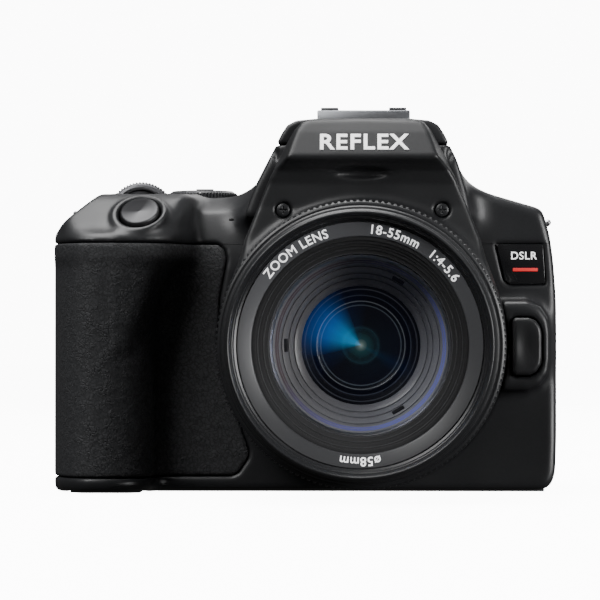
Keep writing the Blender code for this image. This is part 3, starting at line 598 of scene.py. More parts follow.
def along(axis, point=(0, 0, 0)):
    """The placement whose Z axis runs along a direction through a point in millimetres."""
    turn = Vector(axis).normalized().to_track_quat("Z", "Y").to_matrix().to_4x4()
    return Matrix.Translation(Vector(point) * MM) @ turn


LENS_PLACE = Matrix.Translation((0, 0, LENS_AXIS[1] * MM)) @ Matrix.Rotation(math.pi / 2, 4, "X")


# ---------------------------------------------------------------- turned pieces


def turned(name, profile, steps=160, shape=None):
    """A closed profile of (radius, height) turned about Z. shape(angle, radius, height) can move a point."""
    angles = np.linspace(0, 2 * math.pi, steps, endpoint=False)
    rows = []
    for radius, height in profile:
        r = np.full(steps, radius, float)
        h = np.full(steps, height, float)
        if shape is not None and radius > 0:
            r, h = shape(angles, r, h)
        rows.append(np.stack([r * np.cos(angles), r * np.sin(angles), h], axis=1))
    points = np.concatenate(rows) * MM
    faces = []
    count = len(profile)
    for a in range(count):
        b = (a + 1) % count
        if profile[a][0] == 0 and profile[b][0] == 0:
            continue
        for i in range(steps):
            j = (i + 1) % steps
            faces.append((a * steps + i, a * steps + j, b * steps + j, b * steps + i))
    mesh = bpy.data.meshes.new(name)
    mesh.from_pydata(points.tolist(), [], faces)
    bm = bmesh.new()
    bm.from_mesh(mesh)
    bmesh.ops.remove_doubles(bm, verts=bm.verts, dist=1e-7)
    bpy.data.meshes.remove(mesh)
    return bmesh_to_mesh(bm, name)


def rounded_profile(profile, radius=0.25, steps=3):
    """A closed profile with each corner rounded, except those on the axis."""
    out = []
    count = len(profile)
    for i, corner in enumerate(profile):
        here = Vector(corner)
        before, after = Vector(profile[i - 1]) - here, Vector(profile[(i + 1) % count]) - here
        if corner[0] == 0 or before.length < 1e-6 or after.length < 1e-6:
            out.append(corner)
            continue
        reach = min(radius, before.length * 0.45, after.length * 0.45)
        start, end = here + before.normalized() * reach, here + after.normalized() * reach
        for k in range(steps + 1):
            t = k / steps
            point = start * (1 - t) ** 2 + here * 2 * t * (1 - t) + end * t**2
            out.append((point.x, point.y))
    return out


def ribs(count, depth, low, high, share=0.5, ease=6.0):
    """A shape function: ribs of a depth between two heights, on the outermost wall."""

    def shape(angles, r, h):
        wave = np.cos(angles * count)
        groove = 1 / (1 + np.exp(-ease * (wave - (1 - 2 * share))))
        inside = (h > low) & (h < high)
        return np.where(inside, r - depth * groove, r), h

    return shape


def dome(radius, low, high, crown, edge=0.4):
    """The profile of a button: a wall, a rounded edge and a slightly domed or dished top."""
    top = [(radius * t, high + crown * (1 - t * t)) for t in (0.0, 0.25, 0.5, 0.75)]
    wall = [(0, low), (radius, low), (radius, high - edge)]
    return wall + [(radius - edge * 0.3, high - edge * 0.3), (radius - edge, high)] + top[::-1]


# ---------------------------------------------------------------- moulded pieces, from distances in mm


def lattice(low, high, cell):
    """The points of a block of space, one axis at a time."""
    return np.ix_(*(np.arange(a, b + cell, cell, dtype=np.float32) for a, b in zip(low, high)))


def outline_distance(a, b, points):
    """Distance to a closed outline, negative inside it."""
    best = np.float32(1e6)
    inside = np.zeros(np.broadcast(a, b).shape, bool)
    for (ax, ay), (bx, by) in zip(points, points[1:] + points[:1]):
        ex, ey = bx - ax, by - ay
        t = np.clip(((a - ax) * ex + (b - ay) * ey) / (ex * ex + ey * ey), 0, 1)
        best = np.minimum(best, (a - ax - ex * t) ** 2 + (b - ay - ey * t) ** 2)
        if ey:
            inside ^= ((ay > b) != (by > b)) & (a < ax + ex * (b - ay) / ey)
    return np.where(inside, -1, 1).astype(np.float32) * np.sqrt(best)


def pushed(flat, c, low, high, edge=0.0):
    """An outline's distance pushed along an axis from low to high, with rounded rims."""
    run = np.abs(c - (low + high) / 2) - (high - low) / 2 + edge
    wide = flat + edge
    return np.minimum(np.maximum(wide, run), 0) + np.hypot(np.maximum(wide, 0), np.maximum(run, 0)) - edge


def slab(p, point, normal):
    """Distance to the half of space behind a plane."""
    n = Vector(normal).normalized()
    return sum((c - q) * m for c, q, m in zip(p, point, n))


def rod(p, point, axis, radius, start, end, edge=0.0):
    """Distance to a cylinder on any axis."""
    n = Vector(axis).normalized()
    offset = [c - q for c, q in zip(p, point)]
    run = sum(o * m for o, m in zip(offset, n))
    radial = np.sqrt(np.maximum(sum(o * o for o in offset) - run * run, 0)) - radius
    return pushed(radial, run, start, end, edge)


def ball(p, point, radii):
    """Roughly the distance to an egg shape."""
    scaled_length = np.sqrt(sum(((c - q) / r) ** 2 for c, q, r in zip(p, point, radii)))
    return (scaled_length - 1) * min(radii)


def box_distance(p, low, high, edge=0.0):
    sides = [np.abs(c - (a + b) / 2) - (b - a) / 2 + edge for c, a, b in zip(p, low, high)]
    outside = np.sqrt(sum(np.maximum(s, 0) ** 2 for s in sides))
    return outside + np.minimum(np.maximum(np.maximum(sides[0], sides[1]), sides[2]), 0) - edge


def fused(a, b, k=0.0):
    """Two shapes joined, with a fillet about k wide."""
    if k <= 0:
        return np.minimum(a, b)
    h = np.maximum(k - np.abs(a - b), 0) / k
    return np.minimum(a, b) - h * h * (k / 4)


def carved(a, b, k=0.0):
    """The first shape less the second."""
    return -fused(-a, b, k)


def common(a, b, k=0.0):
    """What two shapes share."""
    return -fused(-a, -b, k)


def cast(name, field, low, cell):
    """The surface of a field as a mesh in metres, facing out."""
    field = np.broadcast_to(field, field.shape).astype(np.float32)
    for axis in range(3):
        padded = np.pad(field, [(1, 1) if a == axis else (0, 0) for a in range(3)], mode="edge")
        cut = [slice(None)] * 3
        parts = []
        for start in (0, 1, 2):
            cut[axis] = slice(start, start + field.shape[axis])
            parts.append(padded[tuple(cut)])
        field = (parts[0] + 2 * parts[1] + parts[2]) / 4
    volume = openvdb.FloatGrid(3 * cell)
    volume.copyFromArray(np.ascontiguousarray(np.clip(field, -3 * cell, 3 * cell)))
    points, quads = volume.convertToQuads(0.0)
    points = (points * cell + np.array(low)) * MM
    mesh = bpy.data.meshes.new(name)
    mesh.vertices.add(len(points))
    mesh.vertices.foreach_set("co", points.astype(np.float32).ravel())
    mesh.loops.add(quads.size)
    mesh.loops.foreach_set("vertex_index", quads.astype(np.int32).ravel())
    mesh.polygons.add(len(quads))
    mesh.polygons.foreach_set("loop_start", np.arange(0, quads.size, 4, dtype=np.int32))
    mesh.update(calc_edges=True)
    mesh.validate()
    if outward_volume(mesh) < 0:
        mesh.flip_normals()
    return mesh


def outward_volume(mesh):
    bm = bmesh.new()
    bm.from_mesh(mesh)
    volume = bm.calc_volume(signed=True)
    bm.free()
    return volume


def cut_between(mesh, cuts, name):
    """The part of a closed mesh behind each plane (point, normal), with the cuts closed."""
    bm = bmesh.new()
    bm.from_mesh(mesh)
    for point, normal in cuts:
        whole = bm.verts[:] + bm.edges[:] + bm.faces[:]
        bmesh.ops.bisect_plane(
            bm, geom=whole, dist=1e-7, plane_co=Vector(point) * MM, plane_no=Vector(normal),
            clear_outer=True
        )
        rim = [e for e in bm.edges if len(e.link_faces) == 1]
        bmesh.ops.triangle_fill(bm, edges=rim, use_beauty=True, use_dissolve=False)
    return bmesh_to_mesh(bm, name)


# ---------------------------------------------------------------- the body's form

SHELF_PLANE = ((-53.5, -41.5, 66.3), (0.0, -0.669, 0.743))
FINGER_PLANE = ((-54.5, 0, 38), (0.886, 0, -0.464))
SIDE_PLANE = ((-74.6, 0, 62.9), (-0.659, 0, 0.752))
MODE_DIAL = Vector((-40.2, -6.0, 69.8))
MAIN_DIAL = Vector((-54.0, -27.3, 67.1))


def body_form(p):
    """The outer form of the whole body."""
    x, y, z = p
    form = pushed(outline_distance(x, z, rounded_profile(BODY_OUTLINE, 3)), y, -32, 16, 1.8)
    beside_hump = np.maximum(x + 27, 0) * 0.8
    form = common(form, slab(p, (0, -32, 64.2), (0, -0.72, 0.69)) - beside_hump, 8)
    form = common(form, slab(p, (0, 16, 69.5), (0, 0.6, 0.8)), 4)
    grip = pushed(outline_distance(x, y, rounded_profile(GRIP_OUTLINE, 4, 4)), z, 0.02, 62, 2.4)
    above = outline_distance(x, y, rounded_profile(SHELF_OUTLINE, 4, 4))
    brow = common(pushed(above, z, 34, 62, 1.4), slab(p, *FINGER_PLANE), 5)
    grip = fused(grip, common(brow, -58 - x), 3)
    form = fused(form, grip, 5)
    shelf = pushed(above, z, 56, 72.35, 1.4)
    form = fused(form, common(shelf, slab(p, *SHELF_PLANE), 2.8), 3)
    form = common(form, slab(p, *SIDE_PLANE), 0.8)
    hump = pushed(outline_distance(x, z, rounded_profile(HUMP_OUTLINE, 2)), y, -37.85, 15, 1.2)
    form = fused(form, hump, 7)
    eyepiece = pushed(outline_distance(x, z, EYEPIECE_OUTLINE), y, 5, 19.9, 1.2)
    form = fused(form, eyepiece, 4)
    form = common(form, -74.95 - x, 0.8)
    form = common(form, 0.05 - z, 1.2)
    return fused(form, rod(p, SHUTTER_POINT, SHUTTER_AXIS, 6.7, -4, 0.6, 0.5), 1.8)


def release_boss(p):
    x, y, z = p
    return pushed(outline_distance(x, z, BOSS_OUTLINE), y, -40.9, -25, 1.6)


def bowl(p, point, axis, radius, depth):
    """A round pocket sunk to a depth below a point, open to the outside."""
    return rod(p, point, axis, radius, -depth, 12)


def shell_field(p):
    """The covers as one hollow moulding with every pocket and opening."""
    x, y, z = p
    outer = fused(body_form(p), release_boss(p), 2.5)
    shell = carved(outer, outer + WALL)
    rubber = pushed(outline_distance(x, z, RUBBER_OUTLINE), y, -70, -14) - 0.1
    thumb = pushed(outline_distance(x, z, THUMB_SKIN_OUTLINE), y, 6, 40) - 0.1
    for pad in (rubber, thumb):
        shell = carved(shell, common(pad, -(body_form(p) + 1.3)))
    shell = fused(shell, common(outer, rod(p, MODE_DIAL - Vector((0, 0, 0.4)), (0, 0, 1), 12.8, -1.8, 4)))
    lens_point = (LENS_AXIS[0], 0, LENS_AXIS[1])
    shell = carved(shell, rod(p, lens_point, (0, 1, 0), 34.25, -70, -26))
    shell = carved(shell, rod(p, lens_point, (0, 1, 0), 34.9, -70, -38))
    shell = carved(shell, bowl(p, SHUTTER_POINT, SHUTTER_AXIS, 5.15, 9))
    shell = carved(shell, ball(p, SHUTTER_POINT + SHUTTER_AXIS * 10.9, (12, 12, 12)), 0.4)
    shell = carved(shell, bowl(p, MODE_DIAL - Vector((0, 0, 0.4)), (0, 0, 1), 11.35, 0), 0.8)
    shell = carved(shell, rod(p, MODE_DIAL, (0, 0, 1), 3.2, -8, 8))
    mx, my, mz = MAIN_DIAL
    shell = carved(
        shell, box_distance(p, (mx - 8.7, my - 3.3, mz - 2), (mx + 8.7, my + 3.3, mz + 20), 0.6), 0.5
    )
    for point in TOP_BUTTONS.values():
        shell = carved(shell, bowl(p, point, (0, 0, 1), 2.85, 6), 0.4)
    for point in REAR_BUTTONS.values():
        shell = carved(shell, bowl(p, point, (0, 1, 0), 2.75, 6), 0.4)
    shell = carved(shell, pushed(outline_distance(x, z, RELEASE_OUTLINE) - 0.3, y, -60, -26), 0.6)
    shell = carved(shell, pushed(outline_distance(x, z, NAMEPLATE_OUTLINE) - 0.15, y, -60, -30.9))
    shell = carved(shell, box_distance(p, (-40, -60, 83.8), (40, -13.3, 120)))
    for side in (-1, 1):
        shell = carved(shell, box_distance(p, (side * 16.1 - 1.0, -14, 82), (side * 16.1 + 1.0, -7.6, 95)))
        shell = carved(shell, ball(p, (side * 21.0, -38.5, 81.7), (1.0, 2.0, 2.3)), 0.2)
    shell = carved(shell, box_distance(p, (-9.5, 5, 69), (9.5, 30, 79.5), 0.4), 0.5)
    shell = carved(shell, box_distance(p, (-50.2, -28.8, -5), (44.2, 12.2, WALL + 0.6)))
    shell = carved(shell, box_distance(p, (-70.7, -42.2, -5), (-53.3, -7.8, WALL + 0.6), 0.4))
    shell = carved(shell, box_distance(p, (45.2, -25.05, 11.95), (60, -3.95, 48.05)))
    shell = carved(shell, box_distance(p, (-33.5, 10.4, 4.4), (60, 40, 58.6), 0.5), 0.5)
    shell = fused(shell, box_distance(p, (-36, 8.6, 2.8), (45.0, 10.3, 59.4)))
    kx, ky, kz = KEYS_POINT
    shell = carved(shell, rod(p, (kx, 16, kz), (0, 1, 0), 9.1, -3.2, 8), 0.4)
    return shell


TOP_BUTTONS = {"iso_button": Vector((-57.0, -15.0, 73.2)), "disp_button": Vector((-57.0, -6.0, 73.2))}
REAR_BUTTONS = {
    "menu_button": Vector((27.5, 16, 65.5)), "live_view_button": Vector((-24.5, 16, 65.5)),
    "ae_lock_button": Vector((-57.5, 16, 65.5)), "af_point_button": Vector((-66.0, 16, 64.5)),
    "exposure_button": Vector((-42.0, 16, 51.0)), "playback_button": Vector((-40.5, 16, 11.5)),
    "erase_button": Vector((-51.5, 16, 11.5)),
}
KEYS_POINT = Vector((-46.0, 15.0, 29.5))


class Step:
    """What every operator of this add-on shares."""

    bl_options = {"REGISTER", "UNDO"}


class DSLR_OT_covers(Step, bpy.types.Operator):
    """Front, top and rear cover: one hollow form parted along its seams, and the plates behind its gaps"""

    bl_idname = "dslr.covers"
    bl_label = "Covers"

    def execute(self, context):
        cell = sizes().shell_cell / MM
        low, high = (-76.5, -52, -1.5), (49, 22, 92.5)
        whole = cast("covers", shell_field(lattice(low, high, cell)), low, cell)
        hair = 0.05
        top = cut_between(whole, [((0, 0, SEAM_Z + hair), (0, 0, -1))], "top_cover_moulding")
        under = ((0, 0, SEAM_Z - hair), (0, 0, 1))
        front = cut_between(whole, [under, ((0, SEAM_Y - hair, 0), (0, 1, 0))], "front_cover_moulding")
        rear = cut_between(whole, [under, ((0, SEAM_Y + hair, 0), (0, -1, 0))], "rear_cover_moulding")
        bpy.data.meshes.remove(whole)
        for mesh, node in ((top, "top_cover"), (front, "front_cover"), (rear, "rear_cover")):
            add_piece(mesh.name, mesh, "plastic", ROOT, [node], smooth=50)
        self.seam_lip(cell)
        # A dark sheet of painted shade behind the finder opening.
        add_piece("finder_shade_sheet", rounded_box((-11, 3.2, 67.5), (11, 4.2, 81)), "dark")
        # Dark patches of painted shade where the microphone holes are.
        for name, x in (("microphone_shade_patch_left", -31.9), ("microphone_shade_patch_right", 30.7)):
            add_piece(name, rounded_box((x - 0.6, -32.12, 65.7), (x + 0.6, -31.6, 66.3), 0.2), "dark")
        return {"FINISHED"}

    @staticmethod
    def seam_lip(cell):
        """A tongue inside the grip, behind the seam under the top cover, so that no light shows through."""
        low = (-76.5, -51.5, 56)
        p = lattice(low, (-34, -8, 63), cell)
        form = body_form(p)
        tongue = common(common(form + 1.5, -(form + 4)), np.abs(p[2] - 59) - 1.6)
        tongue = carved(tongue, bowl(p, SHUTTER_POINT, SHUTTER_AXIS, 5.6, 9))
        add_piece("seam_lip", cast("seam_lip", tongue, low, cell), "dark")


def rounded_box(low, high, edge=0.2, segments=2):
    """A box mesh in metres with rounded edges."""
    bm = bmesh.new()
    bmesh.ops.create_cube(bm, size=1)
    bmesh.ops.scale(bm, vec=[(b - a) * MM for a, b in zip(low, high)], verts=bm.verts)
    bmesh.ops.translate(bm, vec=[(a + b) / 2 * MM for a, b in zip(low, high)], verts=bm.verts)
    bmesh.ops.bevel(bm, geom=bm.edges[:], offset=edge * MM, segments=segments, profile=0.5, affect="EDGES")
    return bmesh_to_mesh(bm, "box")


class DSLR_OT_rubber(Step, bpy.types.Operator):
    """The leather-grained skins of the grip and the thumb rest"""

    bl_idname = "dslr.rubber"
    bl_label = "Rubber skins"

    def execute(self, context):
        cell = sizes().panel_cell / MM
        low, high = (-76.5, -51.5, 2), (-26, -12, 62)
        p = lattice(low, high, cell)
        skin = self.skin(p, pushed(outline_distance(p[0], p[2], RUBBER_OUTLINE), p[1], -70, -14.2))
        add_piece(
            "grip_rubber_skin", cast("grip_rubber", skin, low, cell), "rubber", ROOT, ["grip_rubber"],
            smooth=50
        )
        low, high = (-76.5, 4, 22), (-56, 21, 59)
        p = lattice(low, high, cell)
        skin = self.skin(p, pushed(outline_distance(p[0], p[2], THUMB_SKIN_OUTLINE), p[1], 6.2, 40))
        add_piece(
            "thumb_rubber_skin", cast("thumb_rubber", skin, low, cell), "rubber", ROOT, ["thumb_rubber"],
            smooth=50
        )
        return {"FINISHED"}

    @staticmethod
    def skin(p, pad):
        form = body_form(p)
        return common(common(form, pad, 0.5), -(form + 1.2))


class DSLR_OT_front_panel(Step, bpy.types.Operator):
    """The centre panel with its brow, its two screws and the blank nameplate"""

    bl_idname = "dslr.front_panel"
    bl_label = "Centre panel"

    def execute(self, context):
        cell = sizes().panel_cell / MM
        low, high = (-36, -46.5, 0.5), (36, -29, 91.5)
        p = lattice(low, high, cell)
        mesh = cast("front_panel", self.field(p), low, cell)
        add_piece("centre_panel", mesh, "panel", ROOT, ["front_panel"], smooth=50)
        for name, x in (("panel_screw_left", -19.1), ("panel_screw_right", 19.1)):
            self.screw(name, x)
        plate = prism("nameplate", NAMEPLATE_OUTLINE, -32.35, -31.1)
        add_piece("nameplate_finished", softened(plate, 0.3), "gloss", ROOT, ["nameplate"])
        return {"FINISHED"}

    @staticmethod
    def field(p):
        x, y, z = p
        front = outline_distance(x, z, PANEL_OUTLINE)
        lean = np.maximum(-39.4 - y, 0) * 0.30
        panel = pushed(front + lean, y, -46, -38.35)
        panel = common(panel, outline_distance(y, z, PANEL_SIDE), 0.7)
        panel = carved(panel, ball(p, (0.0, -45.0, 76.6), (9.5, 5.4, 1.9)), 0.3)
        point = (LENS_AXIS[0], 0, LENS_AXIS[1])
        panel = fused(panel, rod(p, point, (0, 1, 0), 34.6, -42.8, -38.35, 0.7), 2.5)
        panel = fused(panel, rod(p, point, (0, 1, 0), 33.9, -42, -30.2))
        panel = carved(panel, rod(p, point, (0, 1, 0), 32.7, -70, 0), 0.5)
        for side in (-1, 1):
            panel = carved(panel, rod(p, (side * 19.1, 0, 68), (0, 1, 0), 2.0, -60, -39.35), 0.3)
        return panel

    @staticmethod
    def screw(name, x):
        """A pan-head screw: a low dome with a tapered cross recess."""
        cell = 0.09
        z = 68
        low, high = (x - 1.9, -41.2, z - 1.9), (x + 1.9, -39.3, z + 1.9)
        p = lattice(low, high, cell)
        head = common(
            rod(p, (x, 0, z), (0, 1, 0), 1.6, -40.45, -39.55, 0.12),
            ball(p, (x, -38.1, z), (3.2, 2.4, 3.2)), 0.1
        )
        taper = (p[1] + 40.6) * 0.35
        for wide, tall in ((1.0, 0.24), (0.24, 1.0)):
            slot = box_distance(p, (x - wide, -42, z - tall), (x + wide, -39.9, z + tall), 0.05)
            head = carved(head, slot + taper, 0.05)
        add_piece(name + "_finished", cast(name, head, low, cell), "barrel", ROOT, [name], smooth=50)


def prism(name, outline, low, high, axis="Y"):
    """A mesh in metres of an outline pushed along Y, or along Z."""
    bm = bmesh.new()
    corners = []
    for a, b in outline:
        place = (a, low, b) if axis == "Y" else (a, b, low)
        corners.append(bm.verts.new([c * MM for c in place]))
    face = bm.faces.new(corners)
    made = bmesh.ops.extrude_face_region(bm, geom=[face])
    step = Vector((0, high - low, 0) if axis == "Y" else (0, 0, high - low)) * MM
    bmesh.ops.translate(bm, vec=step, verts=[v for v in made["geom"] if isinstance(v, bmesh.types.BMVert)])
    return bmesh_to_mesh(bm, name)


class DSLR_OT_flash(Step, bpy.types.Operator):
    """The pop-up flash: lid and lamp housing, ribbed lens and arms"""

    bl_idname = "dslr.flash"
    bl_label = "Flash"

    def execute(self, context):
        cell = sizes().panel_cell / MM
        low, high = (-22.5, -39, 76.5), (22.5, -12.5, 91.5)
        p = lattice(low, high, cell)
        x, y, z = p
        lid = pushed(outline_distance(x, z, HUMP_OUTLINE), y, -37.35, -13.6, 0.6)
        lid = common(lid, 84.05 - z, 0.4)
        lid = carved(lid, box_distance(p, (-17.2, -34.8, 70), (17.2, -10, 87.7), 0.6))
        lid = fused(lid, box_distance(p, (-14, -33.8, 77.7), (14, -25, 88.4), 0.7), 0.5)
        lid = carved(lid, box_distance(p, (-12.3, -40, 78.3), (12.3, -33.2, 83.5), 0.3))
        pin_y, pin_z = -10.3 - 21.5 * math.cos(math.radians(12)), 85.1 - 21.5 * math.sin(math.radians(12))
        lid = carved(lid, rod(p, (0, pin_y, pin_z), (1, 0, 0), 1.35, -20, 20))
        add_piece(
            "flash_housing", cast("flash_head", lid, low, cell), "plastic", "flash_head", ["flash_head"],
            smooth=50
        )
        add_piece("flash_lens", self.ribbed_lens(), "window", "flash_head", ["flash_window"], smooth=20)
        refined("flash_arms", "satin_metal", 0.15)
        return {"FINISHED"}

    @staticmethod
    def ribbed_lens():
        """A plate with a row of upright ribs on its face."""
        bm = bmesh.new()
        count = 24
        outline = [(-12, -34.1)]
        for i in range(count):
            left = -12 + 24 * i / count
            outline += [(left, -34.75), (left + 12 / count, -34.9)]
        outline += [(12, -34.75), (12, -34.1)]
        corners = [bm.verts.new((a * MM, b * MM, 78.7 * MM)) for a, b in outline]
        made = bmesh.ops.extrude_face_region(bm, geom=[bm.faces.new(corners)])
        verts = [v for v in made["geom"] if isinstance(v, bmesh.types.BMVert)]
        bmesh.ops.translate(bm, vec=(0, 0, 4.4 * MM), verts=verts)
        return bmesh_to_mesh(bm, "flash_lens")


class DSLR_OT_shoe(Step, bpy.types.Operator):
    """The accessory shoe: base, rails and contacts"""

    bl_idname = "dslr.shoe"
    bl_label = "Accessory shoe"

    def execute(self, context):
        refined("hot_shoe_base", "shoe", 0.35)
        refined("hot_shoe_rails", "shoe", 0.12)
        spots = [(0, -2.0, 1.6), (-4.4, 2.6, 0.9), (-1.6, 3.6, 0.9), (1.6, 3.6, 0.9), (4.4, 2.6, 0.9)]
        for i, (x, y, r) in enumerate(spots):
            rim = turned(
                "contact_rim", rounded_profile([(r + 0.45, 0), (r + 0.45, 0.12), (r, 0.12), (r, 0)], 0.05),
                48
            )
            add_piece(f"shoe_contact_ring_{i + 1}", rim, "dark", matrix=along((0, 0, 1), (x, y, 92.5)))
            disc = turned("contact", dome(r - 0.1, 0, 0.1, 0.06, 0.05), 48)
            add_piece(f"shoe_contact_{i + 1}", disc, "metal", matrix=along((0, 0, 1), (x, y, 92.5)))
        return {"FINISHED"}


class DSLR_OT_dials(Step, bpy.types.Operator):
    """Main dial, mode dial and the power lever under it"""

    bl_idname = "dslr.dials"
    bl_label = "Dials"

    def execute(self, context):
        teeth = sizes().dial_teeth
        rim = [
            (0, -2.9), (6.9, -2.9), (7.5, -2.6), (8.2, -1.9), (8.2, 1.9), (7.5, 2.6), (6.9, 2.9),
            (6.2, 2.9), (6.0, 2.55), (2.4, 2.55), (2.2, 2.9), (0, 2.9),
        ]
        wheel = turned("main_dial", rounded_profile(rim, 0.2), teeth * 8, ribs(teeth, 0.28, -2.3, 2.3))
        add_piece(
            "main_dial_wheel", wheel, "dial_face", "main_dial", ["main_dial"], along((0, -1, 0), MAIN_DIAL),
            30
        )
        teeth = sizes().mode_teeth
        rim = [
            (0, -3.0), (2.8, -3.0), (2.8, 1.1), (8.7, 1.1), (8.7, 3.2), (8.4, 3.6), (7.9, 3.75), (7.7, 4.0),
            (0, 4.0)
        ]
        wheel = turned("mode_dial", rounded_profile(rim, 0.12), teeth * 8, ribs(teeth, 0.35, 1.3, 3.3))
        place = along((0, 0, 1), MODE_DIAL)
        add_piece("mode_dial_wheel", wheel, "dial", "mode_dial", ["mode_dial"], place, 30)
        face = turned(
            "mode_face", rounded_profile([(0, 3.9), (7.5, 3.9), (7.5, 4.12), (0, 4.12)], 0.08), 96
        )
        add_piece("mode_dial_face", face, "dial_face", "mode_dial", (), place, 30)
        self.marks()
        refined("power_lever", "dial", 0.25)
        pointer = rounded_box((MODE_DIAL.x - 0.25, -18.6, 73.05), (MODE_DIAL.x + 0.25, -17.6, 73.12), 0.02)
        add_piece("mode_index", pointer, "marking")
        return {"FINISHED"}

    @staticmethod
    def marks():
        """Letters of the exposure modes and plain bars for the rest, round the dial."""
        letters = ["M", "A", "S", "P"]
        top = MODE_DIAL.z + 4.12
        for i in range(12):
            angle = 2 * math.pi * i / 12 + math.pi / 2
            x, y = MODE_DIAL.x + 5.7 * math.cos(angle), MODE_DIAL.y + 5.7 * math.sin(angle)
            turn = angle - math.pi / 2
            if i < len(letters):
                mesh = letter_mesh(letters[i], 2.3, 0.05)
                finish_name = "marking"
            else:
                mesh = rounded_box((-0.7, -0.22, 0), (0.7, 0.22, 0.05), 0.02)
                finish_name = "green" if i == 4 else "marking"
            place = Matrix.Translation(Vector((x, y, top)) * MM) @ Matrix.Rotation(turn, 4, "Z")
            add_piece(f"mode_mark_{i + 1}", mesh, finish_name, "mode_dial", (), place, 0)


def letter_mesh(text, height, depth, bold=0.0, spacing=1.0):
    """A mesh of a short text, centred on its origin, facing +Z."""
    curve = bpy.data.curves.new("letters", "FONT")
    curve.body = text
    curve.size = height * 1.36 * MM
    curve.extrude = depth / 2 * MM
    curve.bevel_depth = bold * MM
    curve.bevel_resolution = 1
    curve.align_x, curve.align_y = "CENTER", "CENTER"
    curve.space_character = spacing
    curve.resolution_u = 6
    holder = bpy.data.objects.new("letters", curve)
    bpy.context.scene.collection.objects.link(holder)
    mesh = applied(holder)
    bpy.data.curves.remove(curve)
    mesh.transform(Matrix.Translation((0, 0, depth / 2 * MM)))
    return mesh


class DSLR_OT_buttons(Step, bpy.types.Operator):
    """Shutter button, the small buttons, the four-way keys and the lens release button"""

    bl_idname = "dslr.buttons"
    bl_label = "Buttons"

    def execute(self, context):
        profile = [
            (0, -4.0), (4.75, -4.0), (4.75, 0.35), (4.62, 0.68), (4.35, 0.86), (4.05, 0.86),
            (3.4, 0.74), (2.2, 0.62), (1.0, 0.57), (0, 0.56),
        ]
        button = turned("shutter_button", profile, 128)
        place = along(SHUTTER_AXIS, SHUTTER_POINT)
        add_piece("shutter_button_cap", button, "spun", "shutter_button", ["shutter_button"], place)
        for name, point in TOP_BUTTONS.items():
            cap = turned(name, dome(2.6, -3.0, 0.55, 0.2), 64)
            add_piece(name + "_cap", cap, "gloss", name, [name], along((0, 0, 1), point))
        for name, point in REAR_BUTTONS.items():
            cap = turned(name, dome(2.5, -3.0, 0.45, 0.2), 64)
            add_piece(name + "_cap", cap, "gloss", name, [name], along((0, 1, 0), point))
        self.symbols()
        self.keys()
        self.release()
        return {"FINISHED"}

    @staticmethod
    def symbols():
        """Plain symbols: a play triangle, bars for the menu and a ring for the live view."""
        x, _, z = REAR_BUTTONS["playback_button"]
        triangle = [(x - 0.8, z), (x + 0.6, z - 0.85), (x + 0.6, z + 0.85)]
        add_piece(
            "playback_symbol", prism("triangle", triangle, 16.64, 16.69), "marking", "playback_button", (),
            None, 0
        )
        x, _, z = REAR_BUTTONS["menu_button"]
        for i in range(3):
            bar = rounded_box(
                (x - 0.95, 16.62, z - 0.85 + i * 0.7), (x + 0.95, 16.68, z - 0.55 + i * 0.7), 0.02
            )
            add_piece(f"menu_symbol_{i + 1}", bar, "marking", "menu_button", (), None, 0)
        ring = turned("live_ring", [(1.0, 0.6), (1.25, 0.6), (1.25, 0.68), (1.0, 0.68)], 48)
        place = along((0, 1, 0), REAR_BUTTONS["live_view_button"])
        add_piece("live_view_symbol", ring, "marking", "live_view_button", (), place)

    @staticmethod
    def keys():
        place = along((0, 1, 0), KEYS_POINT)
        profile = [(3.6, -1.2), (8.6, -1.2), (8.6, 1.1), (7.9, 1.8), (6.2, 1.55), (3.6, 1.15)]
        ring = turned("keys", rounded_profile(profile, 0.3), 96)
        add_piece("cross_keys_ring", ring, "gloss", "cross_keys", ["cross_keys"], place)
        cap = turned("set_button", dome(3.2, -1.2, 1.15, 0.2), 64)
        add_piece("set_button_cap", cap, "gloss", "set_button", ["set_button"], place)
        for i in range(4):
            turn = Matrix.Rotation(i * math.pi / 2, 4, "Z")
            arrow = prism("arrow", [(-0.75, 6.3), (0.75, 6.3), (0, 7.3)], 1.66, 1.80, "Z")
            add_piece(f"key_arrow_{i + 1}", arrow, "marking", "cross_keys", (), place @ turn, 0)

    @staticmethod
    def release():
        low, high = (35.0, -43.6, 27.5), (43.8, -35.6, 43)
        cell = 0.22
        p = lattice(low, high, cell)
        cap = pushed(outline_distance(p[0], p[2], RELEASE_OUTLINE), p[1], -43.2, -36, 0.9)
        cap = carved(cap, ball(p, (39.2, -50.8, 35.2), (6, 8.2, 11)), 0.5)
        mesh = cast("release", cap, low, cell)
        add_piece(
            "release_button_cap", mesh, "panel", "lens_release_button", ["lens_release_button"], smooth=50
        )


